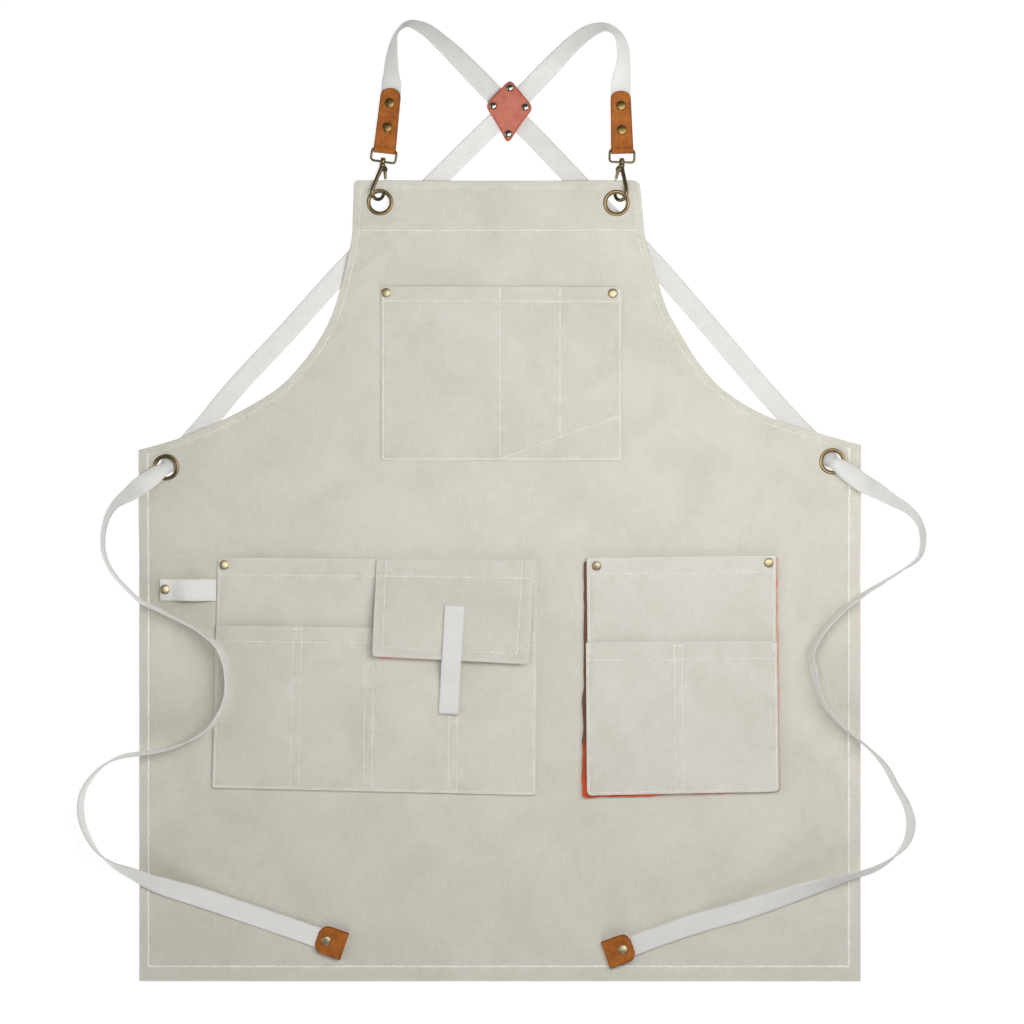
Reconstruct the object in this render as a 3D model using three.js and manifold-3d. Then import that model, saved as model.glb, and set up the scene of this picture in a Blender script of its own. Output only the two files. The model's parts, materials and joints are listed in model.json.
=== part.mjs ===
// Canvas work apron lying flat, front side up: one canvas panel with patch
// pockets, two webbing straps that cross below the neck, run behind the bib and
// come up through the side grommets as ties, and leather and brass trim.
//
// Millimetres, +Z up.  Plan positions in the tables are (across, down) on the
// layout sheet; ORIGIN is the sheet point that becomes x = y = 0, the middle of
// the panel.  z = 0 is the plane that the apron lies on.
import * as THREE from "three";
import { mergeVertices } from "three/addons/utils/BufferGeometryUtils.js";
import Module from "manifold-3d";

const wasm = await Module();
wasm.setup();

// ---------------------------------------------------------------- dimensions
const ORIGIN = { across: 500, down: 580 };
const GAP = 0.3; // air between two pieces that rest on each other
const CANVAS = 1.2; // panel and pocket cloth
const LINING = 1.0;
const LEATHER = 1.8;
const WEB = { width: 20, thick: 1.8, cuts: 2 };

const BODY = {
  top: 180.5, bottom: 981.8, left: 138.8, right: 861,
  bibLeft: 354, bibRight: 637, shoulderLeft: 450, shoulderRight: 445,
};
// armhole edges: down, across of the left edge, across of the right edge
const ARMHOLE = [
  [190, 353.8, 640.5], [215, 353, 643], [240, 351.5, 646], [264, 346, 653],
  [288, 340.5, 660], [312, 333, 668.5], [336, 321.5, 682], [360, 305, 697],
  [384, 283, 717], [400, 260, 738], [416, 231, 767], [430, 199, 808],
  [440, 174, 843],
];
// grommets: name, across, down
const GROMMETS = [
  ["grommet_bib_left", 380, 202.5], ["grommet_bib_right", 616.4, 203.3],
  ["grommet_side_left", 166, 467.4], ["grommet_side_right", 832.3, 461.4],
];
const GROMMET = { bore: 9.25, barrel: 10.3, hole: 10.7, flange: 13.25, dome: 1.1, washer: 12.8, back: 0.8 };
// places where something beneath lifts the panel: across, down, rise, flat radius, outer radius
const LIFTS = [
  [380, 202.5, 6.28, 21, 80], [616.4, 203.3, 6.28, 21, 80],
  [166, 467.4, 5.2, 40, 95], [832.3, 461.4, 5.2, 40, 95],
  [206, 424, 2.7, 36, 84], [793, 423, 2.7, 36, 84],
];
const BIB_RIDE = { rise: 2.3, full: 465, gone: 545 }; // the bib rides on the straps behind it
// grid lines of the panel
const BODY_ACROSS = [
  136, 152, 180, 208, 238, 270, 302, 334, 366, 394, 428, 466, 505, 540, 573, 603,
  631.5, 664, 697, 730, 762, 790, 818, 846.5, 864,
];
const BODY_DOWN = [
  176, 188.4, 217.6, 248, 286, 312, 340, 368, 396, 422, 446.5, 482.5, 510, 535,
  556, 600, 985,
];

// patch pockets: a nominal rectangle (left, right, top, bottom) and where its
// corners lie on the sheet, clockwise from the upper left
const BIB_POCKET = {
  rect: [381, 622, 286, 461], corners: [[381, 286], [622, 286.5], [622, 461], [381, 461]],
};
const TOOL_POCKET = {
  rect: [217, 537, 557, 794], corners: [[217.5, 557], [537, 560], [536, 795.5], [212, 788]],
  mouth: 627,
};
const FLAP = {
  rect: [375, 534, 560, 661], corners: [[376.5, 559.5], [535, 561], [529, 664], [372.5, 656]],
};
const FLAP_LINING = {
  rect: [380, 520, 582, 662], corners: [[381, 582], [522, 582], [520, 659.6], [375.5, 657.7]],
};
const POUCH = {
  rect: [588, 777, 556, 794], corners: [[586.6, 557.6], [776, 555.3], [776, 789.5], [588.5, 793.5]],
  mouth: 642, standOff: 1.8,
};
const POUCH_POCKET = {
  rect: [588, 777, 642, 794], corners: [[585.8, 642], [776.8, 640.6], [778.8, 791.5], [586.8, 795.3]],
};
const POUCH_LINING = {
  rect: [584, 779, 558, 798], corners: [[584.3, 561], [777.8, 557.5], [779.8, 790.5], [582.3, 798]],
};
// compartments: left seam, right seam, rise of the cloth at the mouth
const BIB_ROOMS = [[391.5, 500, 6.6], [500, 560, 6.2], [560, 607, 6.2]];
const TOOL_ROOMS = [[219, 296, 6.2], [301, 368, 6.2], [373, 452, 5.8], [457, 535, 5.8]];
const BACK_ROOM = [[230, 372, 7]];
const POUCH_ROOMS = [[590, 676, 6.2], [682, 775, 6.2]];
const SLANT = { from: [500, 461], to: [622, 415] }; // lower seam of the two narrow bib rooms
// underside of the flap's lining: down, height
const FLAP_ROWS = [[560, 3.0], [577, 3.0], [593, 5.8], [611, 9.0], [626, 10.6], [645, 10.8], [662, 10.5]];
const TOOL_LOOP = { left: 159.5, right: 216, top: 579, bottom: 601, flat: 171, rise: 8.4 };

const TILT = { roll: 40, pitch: -2.74, height: 5.6 }; // how the snap hooks lie
// shoulder tabs and hooks: name, hook across, hook down, hook lean, tab lean,
// tab length, rivets along the tab, side that the arm is on
const SHOULDERS = [
  ["left", 382.9, 161.5, -8.8, -6.2, 61.6, [22, 46.5], -1],
  ["right", 621.8, 162, -2, 1.6, 59, [19.5, 44], 1],
];
const TAB = { width: 21.6, endHeight: 3.35, eyeAlong: 12.05 };
const HOOK = { wire: 1.7, half: 7.2, bend: -31.3, nose: -17.6, pivot: [4.2, -7.6], gateTip: [6.6, -16.4], gateWire: 1.15 };
const EYE = { half: 13.6, foot: -1.5, head: 13.4, bar: 2.4, depth: 2.6 };

// leather kite over the crossing: corners (across, down), corner radius
const PATCH = {
  corners: [[510.2, 79], [533.5, 107.8], [507.8, 144], [485.2, 105]], round: 5, under: 4.4, thick: 2,
};
const PATCH_RIVETS = [[510, 88, 3.5], [493.1, 106, 0.4], [525.4, 107.5, 2.0], [508.3, 134, 3.5]];
// tie ends: name, across and down of the fold, turn, rivet along
const TIE_CAPS = [["left", 344.8, 946.8, 71.1, 19.5], ["right", 605.4, 955.4, -70.5, 18.6]];
const CAP = { width: 28, length: 29, height: 4.5 };
const RIVET = { head: 4.8, dome: 1.7, shank: 1.3, hole: 1.85 };
const STUD = { head: 3.8, dome: 2.6 };
// rivets through pocket corners: name, across, down, head height above the panel
const POCKET_RIVETS = [
  ["rivet_bib_pocket_left", 385.9, 292.9], ["rivet_bib_pocket_right", 612.6, 293.4],
  ["rivet_tool_pocket", 224.2, 565], ["rivet_tool_loop", 164.8, 589.5],
  ["rivet_pouch_left", 596.2, 566.2], ["rivet_pouch_right", 768.5, 562.9],
];

// straps: across, down, roll (0 flat, 90 on its left edge), curl across the
// width, height of the middle line (null: lies on whatever is below)
const STRAP_LEFT = [
  [386.3, 137.6, 0, 0, 4.7], [391.3, 88.5, 0, 0, 3.35], [391.5, 84.2, 6, 0, 3.5],
  [391.6, 76, 32, 0, null], [391.8, 61, 48, 0, null], [393.3, 47, 62, 0, null],
  [397.2, 33.4, 76, 0, null], [408.5, 24.7, 62, 0, null], [423.7, 28.9, 44, 0, null],
  [441, 42, 32, 0, null], [459.6, 59.4, 14, 0, null], [471.5, 71.2, 4, 0, null],
  [482.5, 82.1, 0, 0, 1.2], [508.5, 110, 0, 0, 1.1], [545, 147.5, 0, 0, 1.1],
  [574, 178, 0, 0, 1.1], [652.4, 260.6, 0, 0, 1.1], [701.4, 316.5, 0, 0, 1.1],
  [768.6, 394.6, 0, 0, 1.1], [795.8, 424.2, 0, 0, 1.1], [812.4, 441.1, 0, 0, 1.2],
  [825.5, 454.7, 0, 32, 2.6], [830.2, 459.3, 0, 190, 8.4], [834.5, 463, 0, 190, 15],
  [842, 468.4, 0, 130, 15.4], [850.5, 474.2, 6, 80, 13.4], [861.5, 482, 16, 36, null],
  [876, 489.8, 31, 10, null], [892.2, 500.3, 49, 0, null], [907.2, 509, 59, 0, null],
  [918, 521, 63, 0, null], [922.5, 537, 65, 0, null], [919, 556.2, 71, 0, null],
  [899, 571.7, 87, 0, null], [865.2, 592.5, 96, 0, null], [838, 613.5, 97, 0, null],
  [817, 639, 97, 0, null], [810.5, 654, 104, 0, null], [813, 670, 105, 0, null],
  [816.5, 686, 101, 0, null], [822.6, 703.3, 100, 0, null], [838, 722.3, 96, 0, null],
  [866.6, 746.4, 93, 0, null], [883.2, 763.6, 101, 0, null], [894.6, 783.4, 103.5, 0, null],
  [906.8, 806.5, 107, 0, null], [910.5, 824, 109, 0, null], [905.6, 842.3, 100, 0, null],
  [898.4, 851.5, 89, 0, null], [890.5, 858.7, 75, 0, null], [871.8, 869.1, 66, 0, null],
  [849, 875.5, 63, 0, null], [828, 882, 48, 0, null], [798, 892, 29, 0, null],
  [744, 910, 8, 0, null], [694, 924.5, 0, 0, null], [655, 938, 0, 0, null],
  [633, 945.8, 0, 0, 4.5], [610.6, 953.7, 0, 0, 4.5],
];
const STRAP_RIGHT = [
  [621.9, 137.8, 0, 0, 4.7], [620.6, 90, 0, 0, 3.35], [620.8, 85.8, -5, 0, 3.5],
  [621.6, 77, -26, 0, null], [623.4, 62, -46, 0, null], [622.6, 47.3, -49, 0, null],
  [617.6, 35, -59, 0, null], [606.5, 28, -57, 0, null], [592.5, 30.5, -41, 0, null],
  [576.5, 41, -29, 0, null], [557.7, 59.2, -15, 0, null], [547, 70.1, -4, 0, null],
  [537, 80.4, 0, 0, 1.2], [519, 99.3, 0, 0, 3.2], [508.5, 110, 0, 0, 3.2],
  [498, 119.8, 0, 0, 3.2], [470, 146.3, 0, 0, 1.1], [438, 178, 0, 0, 1.1],
  [352, 260.7, 0, 0, 1.1], [286.2, 332.9, 0, 0, 1.1], [234.6, 388.1, 0, 0, 1.1],
  [203.4, 426, 0, 0, 1.1], [185.2, 446.4, 0, 0, 1.2], [172.5, 460.4, 0, 32, 2.6],
  [168, 465.2, 0, 190, 8.4], [163.8, 469, 0, 190, 15], [156.4, 474.6, 0, 130, 15.4],
  [148, 480.4, -6, 80, 13.4], [137.4, 488.1, -22, 36, null], [125.6, 496.3, -44, 10, null],
  [115, 505.8, -61, 0, null], [107.3, 518.8, -67, 0, null], [104, 536.1, -70, 0, null],
  [104.6, 552.9, -71, 0, null], [111.4, 569.2, -74, 0, null], [123.7, 584.4, -75, 0, null],
  [141, 600.4, -75, 0, null], [159.4, 609.6, -75, 0, null], [181.8, 621.2, -80, 0, null],
  [202, 632.6, -88, 0, null], [217, 643.5, -97, 0, null], [225, 658.5, -99, 0, null],
  [228, 678, -96, 0, null], [226.5, 697, -96, 0, null], [220, 714, -97, 0, null],
  [208.5, 729, -96, 0, null], [190, 740.5, -92, 0, null], [168, 748.5, -87, 0, null],
  [144.5, 752.5, -84, 0, null], [120.7, 756.3, -84, 0, null], [102.7, 766.1, -94, 0, null],
  [90.8, 779.2, -97, 0, null], [83.4, 792.3, -99.5, 0, null], [81.3, 808, -101, 0, null],
  [83.7, 823.6, -99, 0, null], [90.8, 840.3, -94, 0, null], [99.9, 853.1, -84, 0, null],
  [113.1, 863.8, -68, 0, null], [127.1, 870.6, -53, 0, null], [142.6, 877.3, -40, 0, null],
  [160, 885, -25, 0, null], [192, 895, -8, 0, null], [234, 909, 0, 0, null],
  [290, 928, 0, 0, null], [316, 937, 0, 0, 4.5], [339.6, 945, 0, 0, 4.5],
];
const FLAP_TAB_ROWS = [
  [455, 605, 0, 0, null], [454, 621, 0, 0, null], [453, 640, 0, 0, null],
  [451.6, 662, 0, 0, null], [450.2, 686, 0, 0, null], [448.6, 714, 0, 0, null],
];

// ------------------------------------------------------------------ materials
const material = (color, roughness, metalness = 0) =>
  new THREE.MeshStandardMaterial({ color, roughness, metalness });
const CANVAS_LOOK = () => material(0xd2cec1, 0.95);
const LINING_LOOK = () => material(0xe2541f, 0.85);
const WEB_LOOK = () => material(0xdddcd6, 0.9);
const LEATHER_LOOK = () => material(0xa1622f, 0.6);
const PATCH_LOOK = () => material(0xc67a62, 0.6);
const BRASS_LOOK = () => material(0x8a7a52, 0.35, 0.9);
const NICKEL_LOOK = () => material(0x8d8a84, 0.3, 0.9);

// -------------------------------------------------------------------- helpers
const rad = THREE.MathUtils.degToRad;
const at = (across, down, z = 0) =>
  new THREE.Vector3(across - ORIGIN.across, ORIGIN.down - down, z);
const fade = (d, near, far) => {
  const t = Math.min(1, Math.max(0, (far - d) / (far - near)));
  return t * t * (3 - 2 * t);
};
const between = (rows, key) => {
  let k = 1;
  while (k < rows.length - 1 && rows[k][0] < key) k += 1;
  const [[a, u], [b, v]] = [rows[k - 1], rows[k]];
  return u + (v - u) * Math.min(1, Math.max(0, (key - a) / (b - a)));
};

function toSolid(geometry) {
  const bare = geometry.clone();
  bare.deleteAttribute("normal");
  bare.deleteAttribute("uv");
  const merged = mergeVertices(bare, 1e-4);
  const all = merged.index.array;
  const kept = [];
  for (let k = 0; k < all.length; k += 3) {
    const [a, b, c] = [all[k], all[k + 1], all[k + 2]];
    if (a !== b && b !== c && c !== a) kept.push(a, b, c);
  }
  return new wasm.Manifold(new wasm.Mesh({
    numProp: 3,
    vertProperties: new Float32Array(merged.attributes.position.array),
    triVerts: new Uint32Array(kept),
  }));
}

function toGeometry(solid) {
  const mesh = solid.getMesh();
  const geometry = new THREE.BufferGeometry();
  geometry.setAttribute("position", new THREE.BufferAttribute(new Float32Array(mesh.vertProperties), 3));
  geometry.setIndex(new THREE.BufferAttribute(new Uint32Array(mesh.triVerts), 1));
  return geometry;
}

const apron = new THREE.Group();
function add(name, shape, look, parent = apron) {
  const geometry = shape.isBufferGeometry ? shape : toGeometry(shape);
  geometry.computeVertexNormals();
  const mesh = new THREE.Mesh(geometry, look);
  mesh.name = name;
  parent.add(mesh);
  return mesh;
}

// an upright round bar from z0 to z1 at a plan point
function bar(point, z0, z1, radius, sides = 8) {
  return toSolid(new THREE.CylinderGeometry(radius, radius, z1 - z0, sides)
    .rotateX(Math.PI / 2).translate(point.x, point.y, (z0 + z1) / 2));
}

// a cloth wall over a grid: lower skin at under(a, d), upper skin above it
function wall(across, down, under, thick, place = (a, d) => [a, d]) {
  const columns = across.length;
  const count = columns * down.length;
  const position = [];
  for (const lift of [thick, 0]) {
    for (const d of down) {
      for (const a of across) {
        const [sheetA, sheetD] = place(a, d);
        position.push(...at(sheetA, sheetD, under(a, d) + lift).toArray());
      }
    }
  }
  const index = [];
  const quad = (a, b, c, d) => index.push(a, b, c, a, c, d);
  for (let j = 0; j < down.length - 1; j += 1) {
    for (let i = 0; i < columns - 1; i += 1) {
      const k = j * columns + i;
      quad(k, k + columns, k + columns + 1, k + 1);
      quad(count + k, count + k + 1, count + k + columns + 1, count + k + columns);
    }
  }
  const rim = (a, b) => quad(b, a, a + count, b + count);
  const last = (down.length - 1) * columns;
  for (let i = 0; i < columns - 1; i += 1) {
    rim(i + 1, i);
    rim(last + i, last + i + 1);
  }
  for (let j = 0; j < down.length - 1; j += 1) {
    rim(j * columns, (j + 1) * columns);
    rim((j + 2) * columns - 1, (j + 1) * columns - 1);
  }
  const geometry = new THREE.BufferGeometry();
  geometry.setAttribute("position", new THREE.Float32BufferAttribute(position, 3));
  geometry.setIndex(index);
  return geometry;
}

// puts a point of a pocket's nominal rectangle where it lies on the sheet
const laid = ({ rect: [left, right, top, bottom], corners: [tl, tr, br, bl] }) => (a, d) => {
  const u = (a - left) / (right - left);
  const v = (d - top) / (bottom - top);
  return [0, 1].map((k) =>
    (1 - v) * ((1 - u) * tl[k] + u * tr[k]) + v * ((1 - u) * bl[k] + u * br[k]));
};

// height of the cloth's arch between the seams of the room that holds `a`
function arch(rooms, a) {
  for (const [left, right, rise] of rooms) {
    if (a > left && a < right) return rise * (1 - Math.abs((2 * (a - left)) / (right - left) - 1) ** 2.6);
  }
  return 0;
}
const sag = (d, mouth, foot) => 1 - Math.min(1, Math.max(0, (d - mouth) / (foot - mouth))) ** 3;
// grid lines: the seams and three lines inside each room
const roomLines = (rect, rooms) => [...new Set([rect[0], rect[1], ...rooms.flatMap(([l, r]) =>
  [0, 0.17, 0.5, 0.83, 1].map((t) => l + t * (r - l)))])].sort((a, b) => a - b);

// -------------------------------------------------------------- height fields
function bodyUnder(a, d) {
  let sum = (BIB_RIDE.rise * fade(d, BIB_RIDE.full, BIB_RIDE.gone)) ** 4;
  for (const [across, down, rise, near, far] of LIFTS) {
    sum += (rise * fade(Math.hypot(a - across, d - down), near, far)) ** 4;
  }
  return sum ** 0.25;
}
const bodyTop = (a, d) => bodyUnder(a, d) + CANVAS;

const slantAt = (a) => SLANT.from[1]
  + ((a - SLANT.from[0]) / (SLANT.to[0] - SLANT.from[0])) * (SLANT.to[1] - SLANT.from[1]);
const bibPocketUnder = (a, d) => bodyTop(a, d) + GAP
  + arch(BIB_ROOMS, a) * sag(d, BIB_POCKET.rect[2], a > SLANT.from[0] ? slantAt(a) : BIB_POCKET.rect[3]);
const toolBackUnder = (a, d) => CANVAS + GAP + arch(BACK_ROOM, a) * fade(d, TOOL_POCKET.rect[2], 621);
const TOOL_FRONT_BASE = 2 * CANVAS + 2 * GAP;
const toolFrontUnder = (a, d) => TOOL_FRONT_BASE
  + arch(TOOL_ROOMS, a) * sag(d, TOOL_POCKET.mouth, TOOL_POCKET.rect[3]);
const flapLiningUnder = (a, d) => between(FLAP_ROWS, d);
const flapUnder = (a, d) => between(FLAP_ROWS, d) + LINING + 3 * GAP;
const POUCH_LINING_UNDER = CANVAS + POUCH.standOff;
const POUCH_UNDER = POUCH_LINING_UNDER + LINING + GAP;
const pouchPocketUnder = (a, d) => POUCH_UNDER + CANVAS + GAP
  + arch(POUCH_ROOMS, a) * sag(d, POUCH.mouth, POUCH.rect[3]);

// top of what a tie or tab lies on
function bed(a, d) {
  let top = 0;
  if (a > BODY.left - 9 && a < BODY.right + 9 && d > BODY.shoulderRight) top = bodyTop(a, d);
  if (a > 208 && a < 540 && d > 622 && d < 799) {
    for (const shift of [0, 3, 6]) top = Math.max(top, toolFrontUnder(a + shift, d) + CANVAS);
  }
  if (a > 370 && a < 537 && d > 557 && d < 664) top = flapUnder(a, d) + CANVAS;
  return top;
}

// ---------------------------------------------------------------------- panel
function bodyShape() {
  const point = (a, d) => { const p = at(a, d); return new THREE.Vector2(p.x, p.y); };
  const right = ARMHOLE.map(([d, , a]) => point(a, d)).reverse();
  const left = ARMHOLE.map(([d, a]) => point(a, d));
  const shape = new THREE.Shape();
  const start = point(BODY.left, BODY.bottom);
  shape.moveTo(start.x, start.y);
  for (const p of [point(BODY.right, BODY.bottom), point(BODY.right, BODY.shoulderRight)]) shape.lineTo(p.x, p.y);
  shape.splineThru([...right, point(BODY.bibRight + 2.5, BODY.top + 3.5)]);
  for (const p of [point(BODY.bibRight, BODY.top), point(BODY.bibLeft, BODY.top)]) shape.lineTo(p.x, p.y);
  shape.splineThru(left);
  const corner = point(BODY.left, BODY.shoulderLeft);
  shape.lineTo(corner.x, corner.y);
  shape.closePath();
  return shape;
}
const outline = toSolid(new THREE.ExtrudeGeometry(bodyShape(), { depth: 40, bevelEnabled: false, curveSegments: 2 })
  .translate(0, 0, -10));
let body = toSolid(wall(BODY_ACROSS, BODY_DOWN, bodyUnder, CANVAS)).intersect(outline);
for (const [, a, d] of GROMMETS) body = body.subtract(bar(at(a, d), -5, 20, GROMMET.hole, 20));
for (const [, a, d] of POCKET_RIVETS) body = body.subtract(bar(at(a, d), -5, 20, RIVET.hole));
add("apron_body", body, CANVAS_LOOK());

// -------------------------------------------------------------------- pockets
function drilled(geometry, names) {
  let solid = toSolid(geometry);
  for (const [name, a, d] of POCKET_RIVETS) {
    if (names.includes(name)) solid = solid.subtract(bar(at(a, d), -5, 40, RIVET.hole));
  }
  return solid;
}
add("bib_pocket", drilled(
  wall(roomLines(BIB_POCKET.rect, BIB_ROOMS), [286, 312, 340, 368, 396, 422, 446.5, 461], bibPocketUnder, CANVAS, laid(BIB_POCKET)),
  ["rivet_bib_pocket_left", "rivet_bib_pocket_right"]), CANVAS_LOOK());
add("tool_pocket_back", drilled(
  wall([...roomLines([217, 537], BACK_ROOM), 255, 335].sort((a, b) => a - b), [557, 577, 592, 607, 621, 794], toolBackUnder, CANVAS, laid(TOOL_POCKET)),
  ["rivet_tool_pocket"]), CANVAS_LOOK());
add("tool_pocket_front",
  wall(roomLines(TOOL_POCKET.rect, TOOL_ROOMS), [627, 660, 700, 735, 765, 782, 794], toolFrontUnder, CANVAS, laid(TOOL_POCKET)),
  CANVAS_LOOK());
add("pocket_flap", wall([375, 428, 481, 534], FLAP_ROWS.slice(0, -1).map(([d]) => d).concat(661), flapUnder, CANVAS, laid(FLAP)), CANVAS_LOOK());
add("flap_lining", wall([380, 427, 474, 520], [582, 593, 611, 626, 645, 662], flapLiningUnder, LINING, laid(FLAP_LINING)), LINING_LOOK());
add("pouch_lining", drilled(
  wall([584, 779], [558, 798], () => POUCH_LINING_UNDER, LINING, laid(POUCH_LINING)),
  ["rivet_pouch_left", "rivet_pouch_right"]), LINING_LOOK());
add("pouch_panel", drilled(
  wall([588, 777], [556, 794], () => POUCH_UNDER, CANVAS, laid(POUCH)),
  ["rivet_pouch_left", "rivet_pouch_right"]), CANVAS_LOOK());
add("pouch_pocket",
  wall(roomLines(POUCH.rect, POUCH_ROOMS), [642, 680, 715, 745, 772, 794], pouchPocketUnder, CANVAS, laid(POUCH_POCKET)),
  CANVAS_LOOK());

const loopUnder = (a) => CANVAS + GAP + (a > TOOL_LOOP.flat && a < TOOL_LOOP.right - 2
  ? TOOL_LOOP.rise * Math.sin((Math.PI * (a - TOOL_LOOP.flat)) / (TOOL_LOOP.right - 2 - TOOL_LOOP.flat)) ** 1.4 : 0);
const loopAcross = [TOOL_LOOP.left, TOOL_LOOP.flat, 176, 182, 188, 192.5, 197, 203, 209, TOOL_LOOP.right - 2, TOOL_LOOP.right];
add("tool_loop", drilled(wall(loopAcross, [TOOL_LOOP.top, TOOL_LOOP.bottom], loopUnder, WEB.thick), ["rivet_tool_loop"]), WEB_LOOK());

// -------------------------------------------------------------------- webbing
const cubic = (p, q, r, s, t) => 0.5 * (2 * q + (r - p) * t + (2 * p - 5 * q + 4 * r - s) * t * t
  + (3 * q - p - 3 * r + s) * t * t * t);

// cross-section of a strap, left edge to right edge, as offsets from its middle
function section(heading, slope, roll, curl) {
  const along = new THREE.Vector3(heading.x, heading.y, slope).normalize();
  const right = new THREE.Vector3(heading.y, -heading.x, 0).normalize();
  const up = new THREE.Vector3().crossVectors(right, along);
  const wide = right.clone().multiplyScalar(Math.cos(rad(roll))).addScaledVector(up, Math.sin(rad(roll)));
  const face = new THREE.Vector3().crossVectors(wide, along);
  const bend = rad(Math.max(curl, 0.01));
  const radius = WEB.width / bend;
  const upper = [];
  const lower = [];
  for (let k = 0; k <= WEB.cuts; k += 1) {
    const angle = bend * (k / WEB.cuts - 0.5);
    const middle = wide.clone().multiplyScalar(radius * Math.sin(angle))
      .addScaledVector(face, -radius * (1 - Math.cos(angle)));
    const out = face.clone().multiplyScalar(Math.cos(angle)).addScaledVector(wide, Math.sin(angle));
    upper.push(middle.clone().addScaledVector(out, WEB.thick / 2));
    lower.push(middle.clone().addScaledVector(out, -WEB.thick / 2));
  }
  return { upper, lower };
}
// lowest height of a strap's middle that keeps this cross-section above its bed
function rest(point, heading, roll, curl) {
  const { upper, lower } = section(heading, 0, roll, curl);
  let height = 0;
  for (const offset of [...upper, ...lower]) {
    const a = point.x + offset.x + ORIGIN.across;
    const d = ORIGIN.down - point.y - offset.y;
    height = Math.max(height, bed(a, d) + GAP - offset.z);
  }
  return height;
}
function ribbon(rows, steps) {
  const plan = new THREE.CatmullRomCurve3(rows.map(([a, d]) => at(a, d)), false, "centripetal");
  const last = rows.length - 1;
  const headings = rows.map((row, k) => plan.getTangent(k / last));
  const heights = rows.map(([a, d, roll, curl, height], k) =>
    height ?? rest(at(a, d), headings[k], roll, curl));
  const total = last * steps;
  const samples = [];
  for (let n = 0; n <= total; n += 1) {
    const k = Math.min(last - 1, Math.floor(n / steps));
    const t = n / steps - k;
    const pick = (value) => cubic(value(Math.max(0, k - 1)), value(k), value(k + 1), value(Math.min(last, k + 2)), t);
    const point = plan.getPoint(n / total);
    const heading = plan.getTangent(n / total);
    const roll = pick((i) => rows[i][2]);
    const curl = Math.max(0, pick((i) => rows[i][3]));
    const height = pick((i) => heights[i]);
    const lies = rows[k][4] === null || rows[k + 1][4] === null;
    const short = lies ? Math.max(0, rest(point, heading, roll, curl) - height) : 0;
    samples.push({ point, heading, roll, curl, height, short });
  }
  const reach = steps;
  const widest = samples.map((_, n) => Math.max(...samples.slice(Math.max(0, n - reach), n + reach + 1).map((s) => s.short)));
  samples.forEach((sample, n) => {
    const near = widest.slice(Math.max(0, n - reach), n + reach + 1);
    const lift = near.reduce((a, b) => a + b, 0) / near.length;
    sample.point.z = sample.height + (rows[Math.min(last, Math.floor(n / steps))][4] === null ? Math.max(lift, sample.short) : sample.short);
  });
  const ring = 2 * (WEB.cuts + 1);
  const position = [];
  samples.forEach(({ point, heading, roll, curl }, n) => {
    const before = samples[Math.max(0, n - 1)].point;
    const after = samples[Math.min(total, n + 1)].point;
    const run = Math.hypot(after.x - before.x, after.y - before.y);
    const { upper, lower } = section(heading, (after.z - before.z) / run, roll, curl);
    for (const offset of [...upper, ...lower.reverse()]) position.push(...point.clone().add(offset).toArray());
  });
  const index = [];
  for (let n = 0; n < total; n += 1) {
    for (let k = 0; k < ring; k += 1) {
      const [a, b] = [n * ring + k, n * ring + ((k + 1) % ring)];
      index.push(a, b, b + ring, a, b + ring, a + ring);
    }
  }
  for (let k = 0; k < WEB.cuts; k += 1) {
    const [a, b, c, d] = [k, ring - 1 - k, ring - 2 - k, k + 1];
    const end = total * ring;
    index.push(a, b, c, a, c, d, end + a, end + c, end + b, end + a, end + d, end + c);
  }
  const geometry = new THREE.BufferGeometry();
  geometry.setAttribute("position", new THREE.Float32BufferAttribute(position, 3));
  geometry.setIndex(index);
  return toSolid(geometry);
}

// ------------------------------------------------------------------ fasteners
// a rivet along z: shank from `foot` up to `seat`, domed head on the seat
function rivet(foot, seat, { head, dome } = RIVET) {
  const profile = [
    [0, foot], [RIVET.shank, foot], [RIVET.shank, seat], [head, seat], [head * 0.97, seat + dome * 0.45],
    [head * 0.62, seat + dome * 0.88], [0, seat + dome],
  ].map(([r, z]) => new THREE.Vector2(r, z));
  return toGeometry(toSolid(new THREE.LatheGeometry(profile, 10).rotateX(Math.PI / 2)));
}
const seats = {
  rivet_bib_pocket_left: [385.9, 292.9, bibPocketUnder], rivet_bib_pocket_right: [612.6, 293.4, bibPocketUnder],
  rivet_tool_pocket: [224.2, 565, toolBackUnder],
};
for (const [name, a, d] of POCKET_RIVETS) {
  let seat = CANVAS + GAP + WEB.thick;
  if (seats[name]) seat = Math.max(...[-5, 0, 5].flatMap((da) => [-5, 0, 5].map((dd) => seats[name][2](a + da, d + dd)))) + CANVAS;
  if (name.startsWith("rivet_pouch")) seat = POUCH_UNDER + CANVAS;
  add(name, rivet(bodyUnder(a, d) + 0.1, seat + GAP), BRASS_LOOK()).position.copy(at(a, d));
}

for (const [name, a, d] of GROMMETS) {
  const { bore, barrel, flange, dome, washer, back } = GROMMET;
  const top = bodyTop(a, d) + 0.2;
  const under = bodyUnder(a, d) - 0.2;
  const profile = [
    [bore, under - 0.3], [bore, top + 0.6], [10.6, top + dome], [12.3, top + dome * 0.85],
    [flange, top], [barrel, top], [barrel, under], [washer, under], [bore + 0.8, under - back],
    [bore, under - 0.3],
  ].reverse().map(([r, z]) => new THREE.Vector2(r, z));
  const ring = toSolid(new THREE.LatheGeometry(profile, 18).rotateX(Math.PI / 2));
  add(name, ring, BRASS_LOOK()).position.copy(at(a, d));
}

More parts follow.
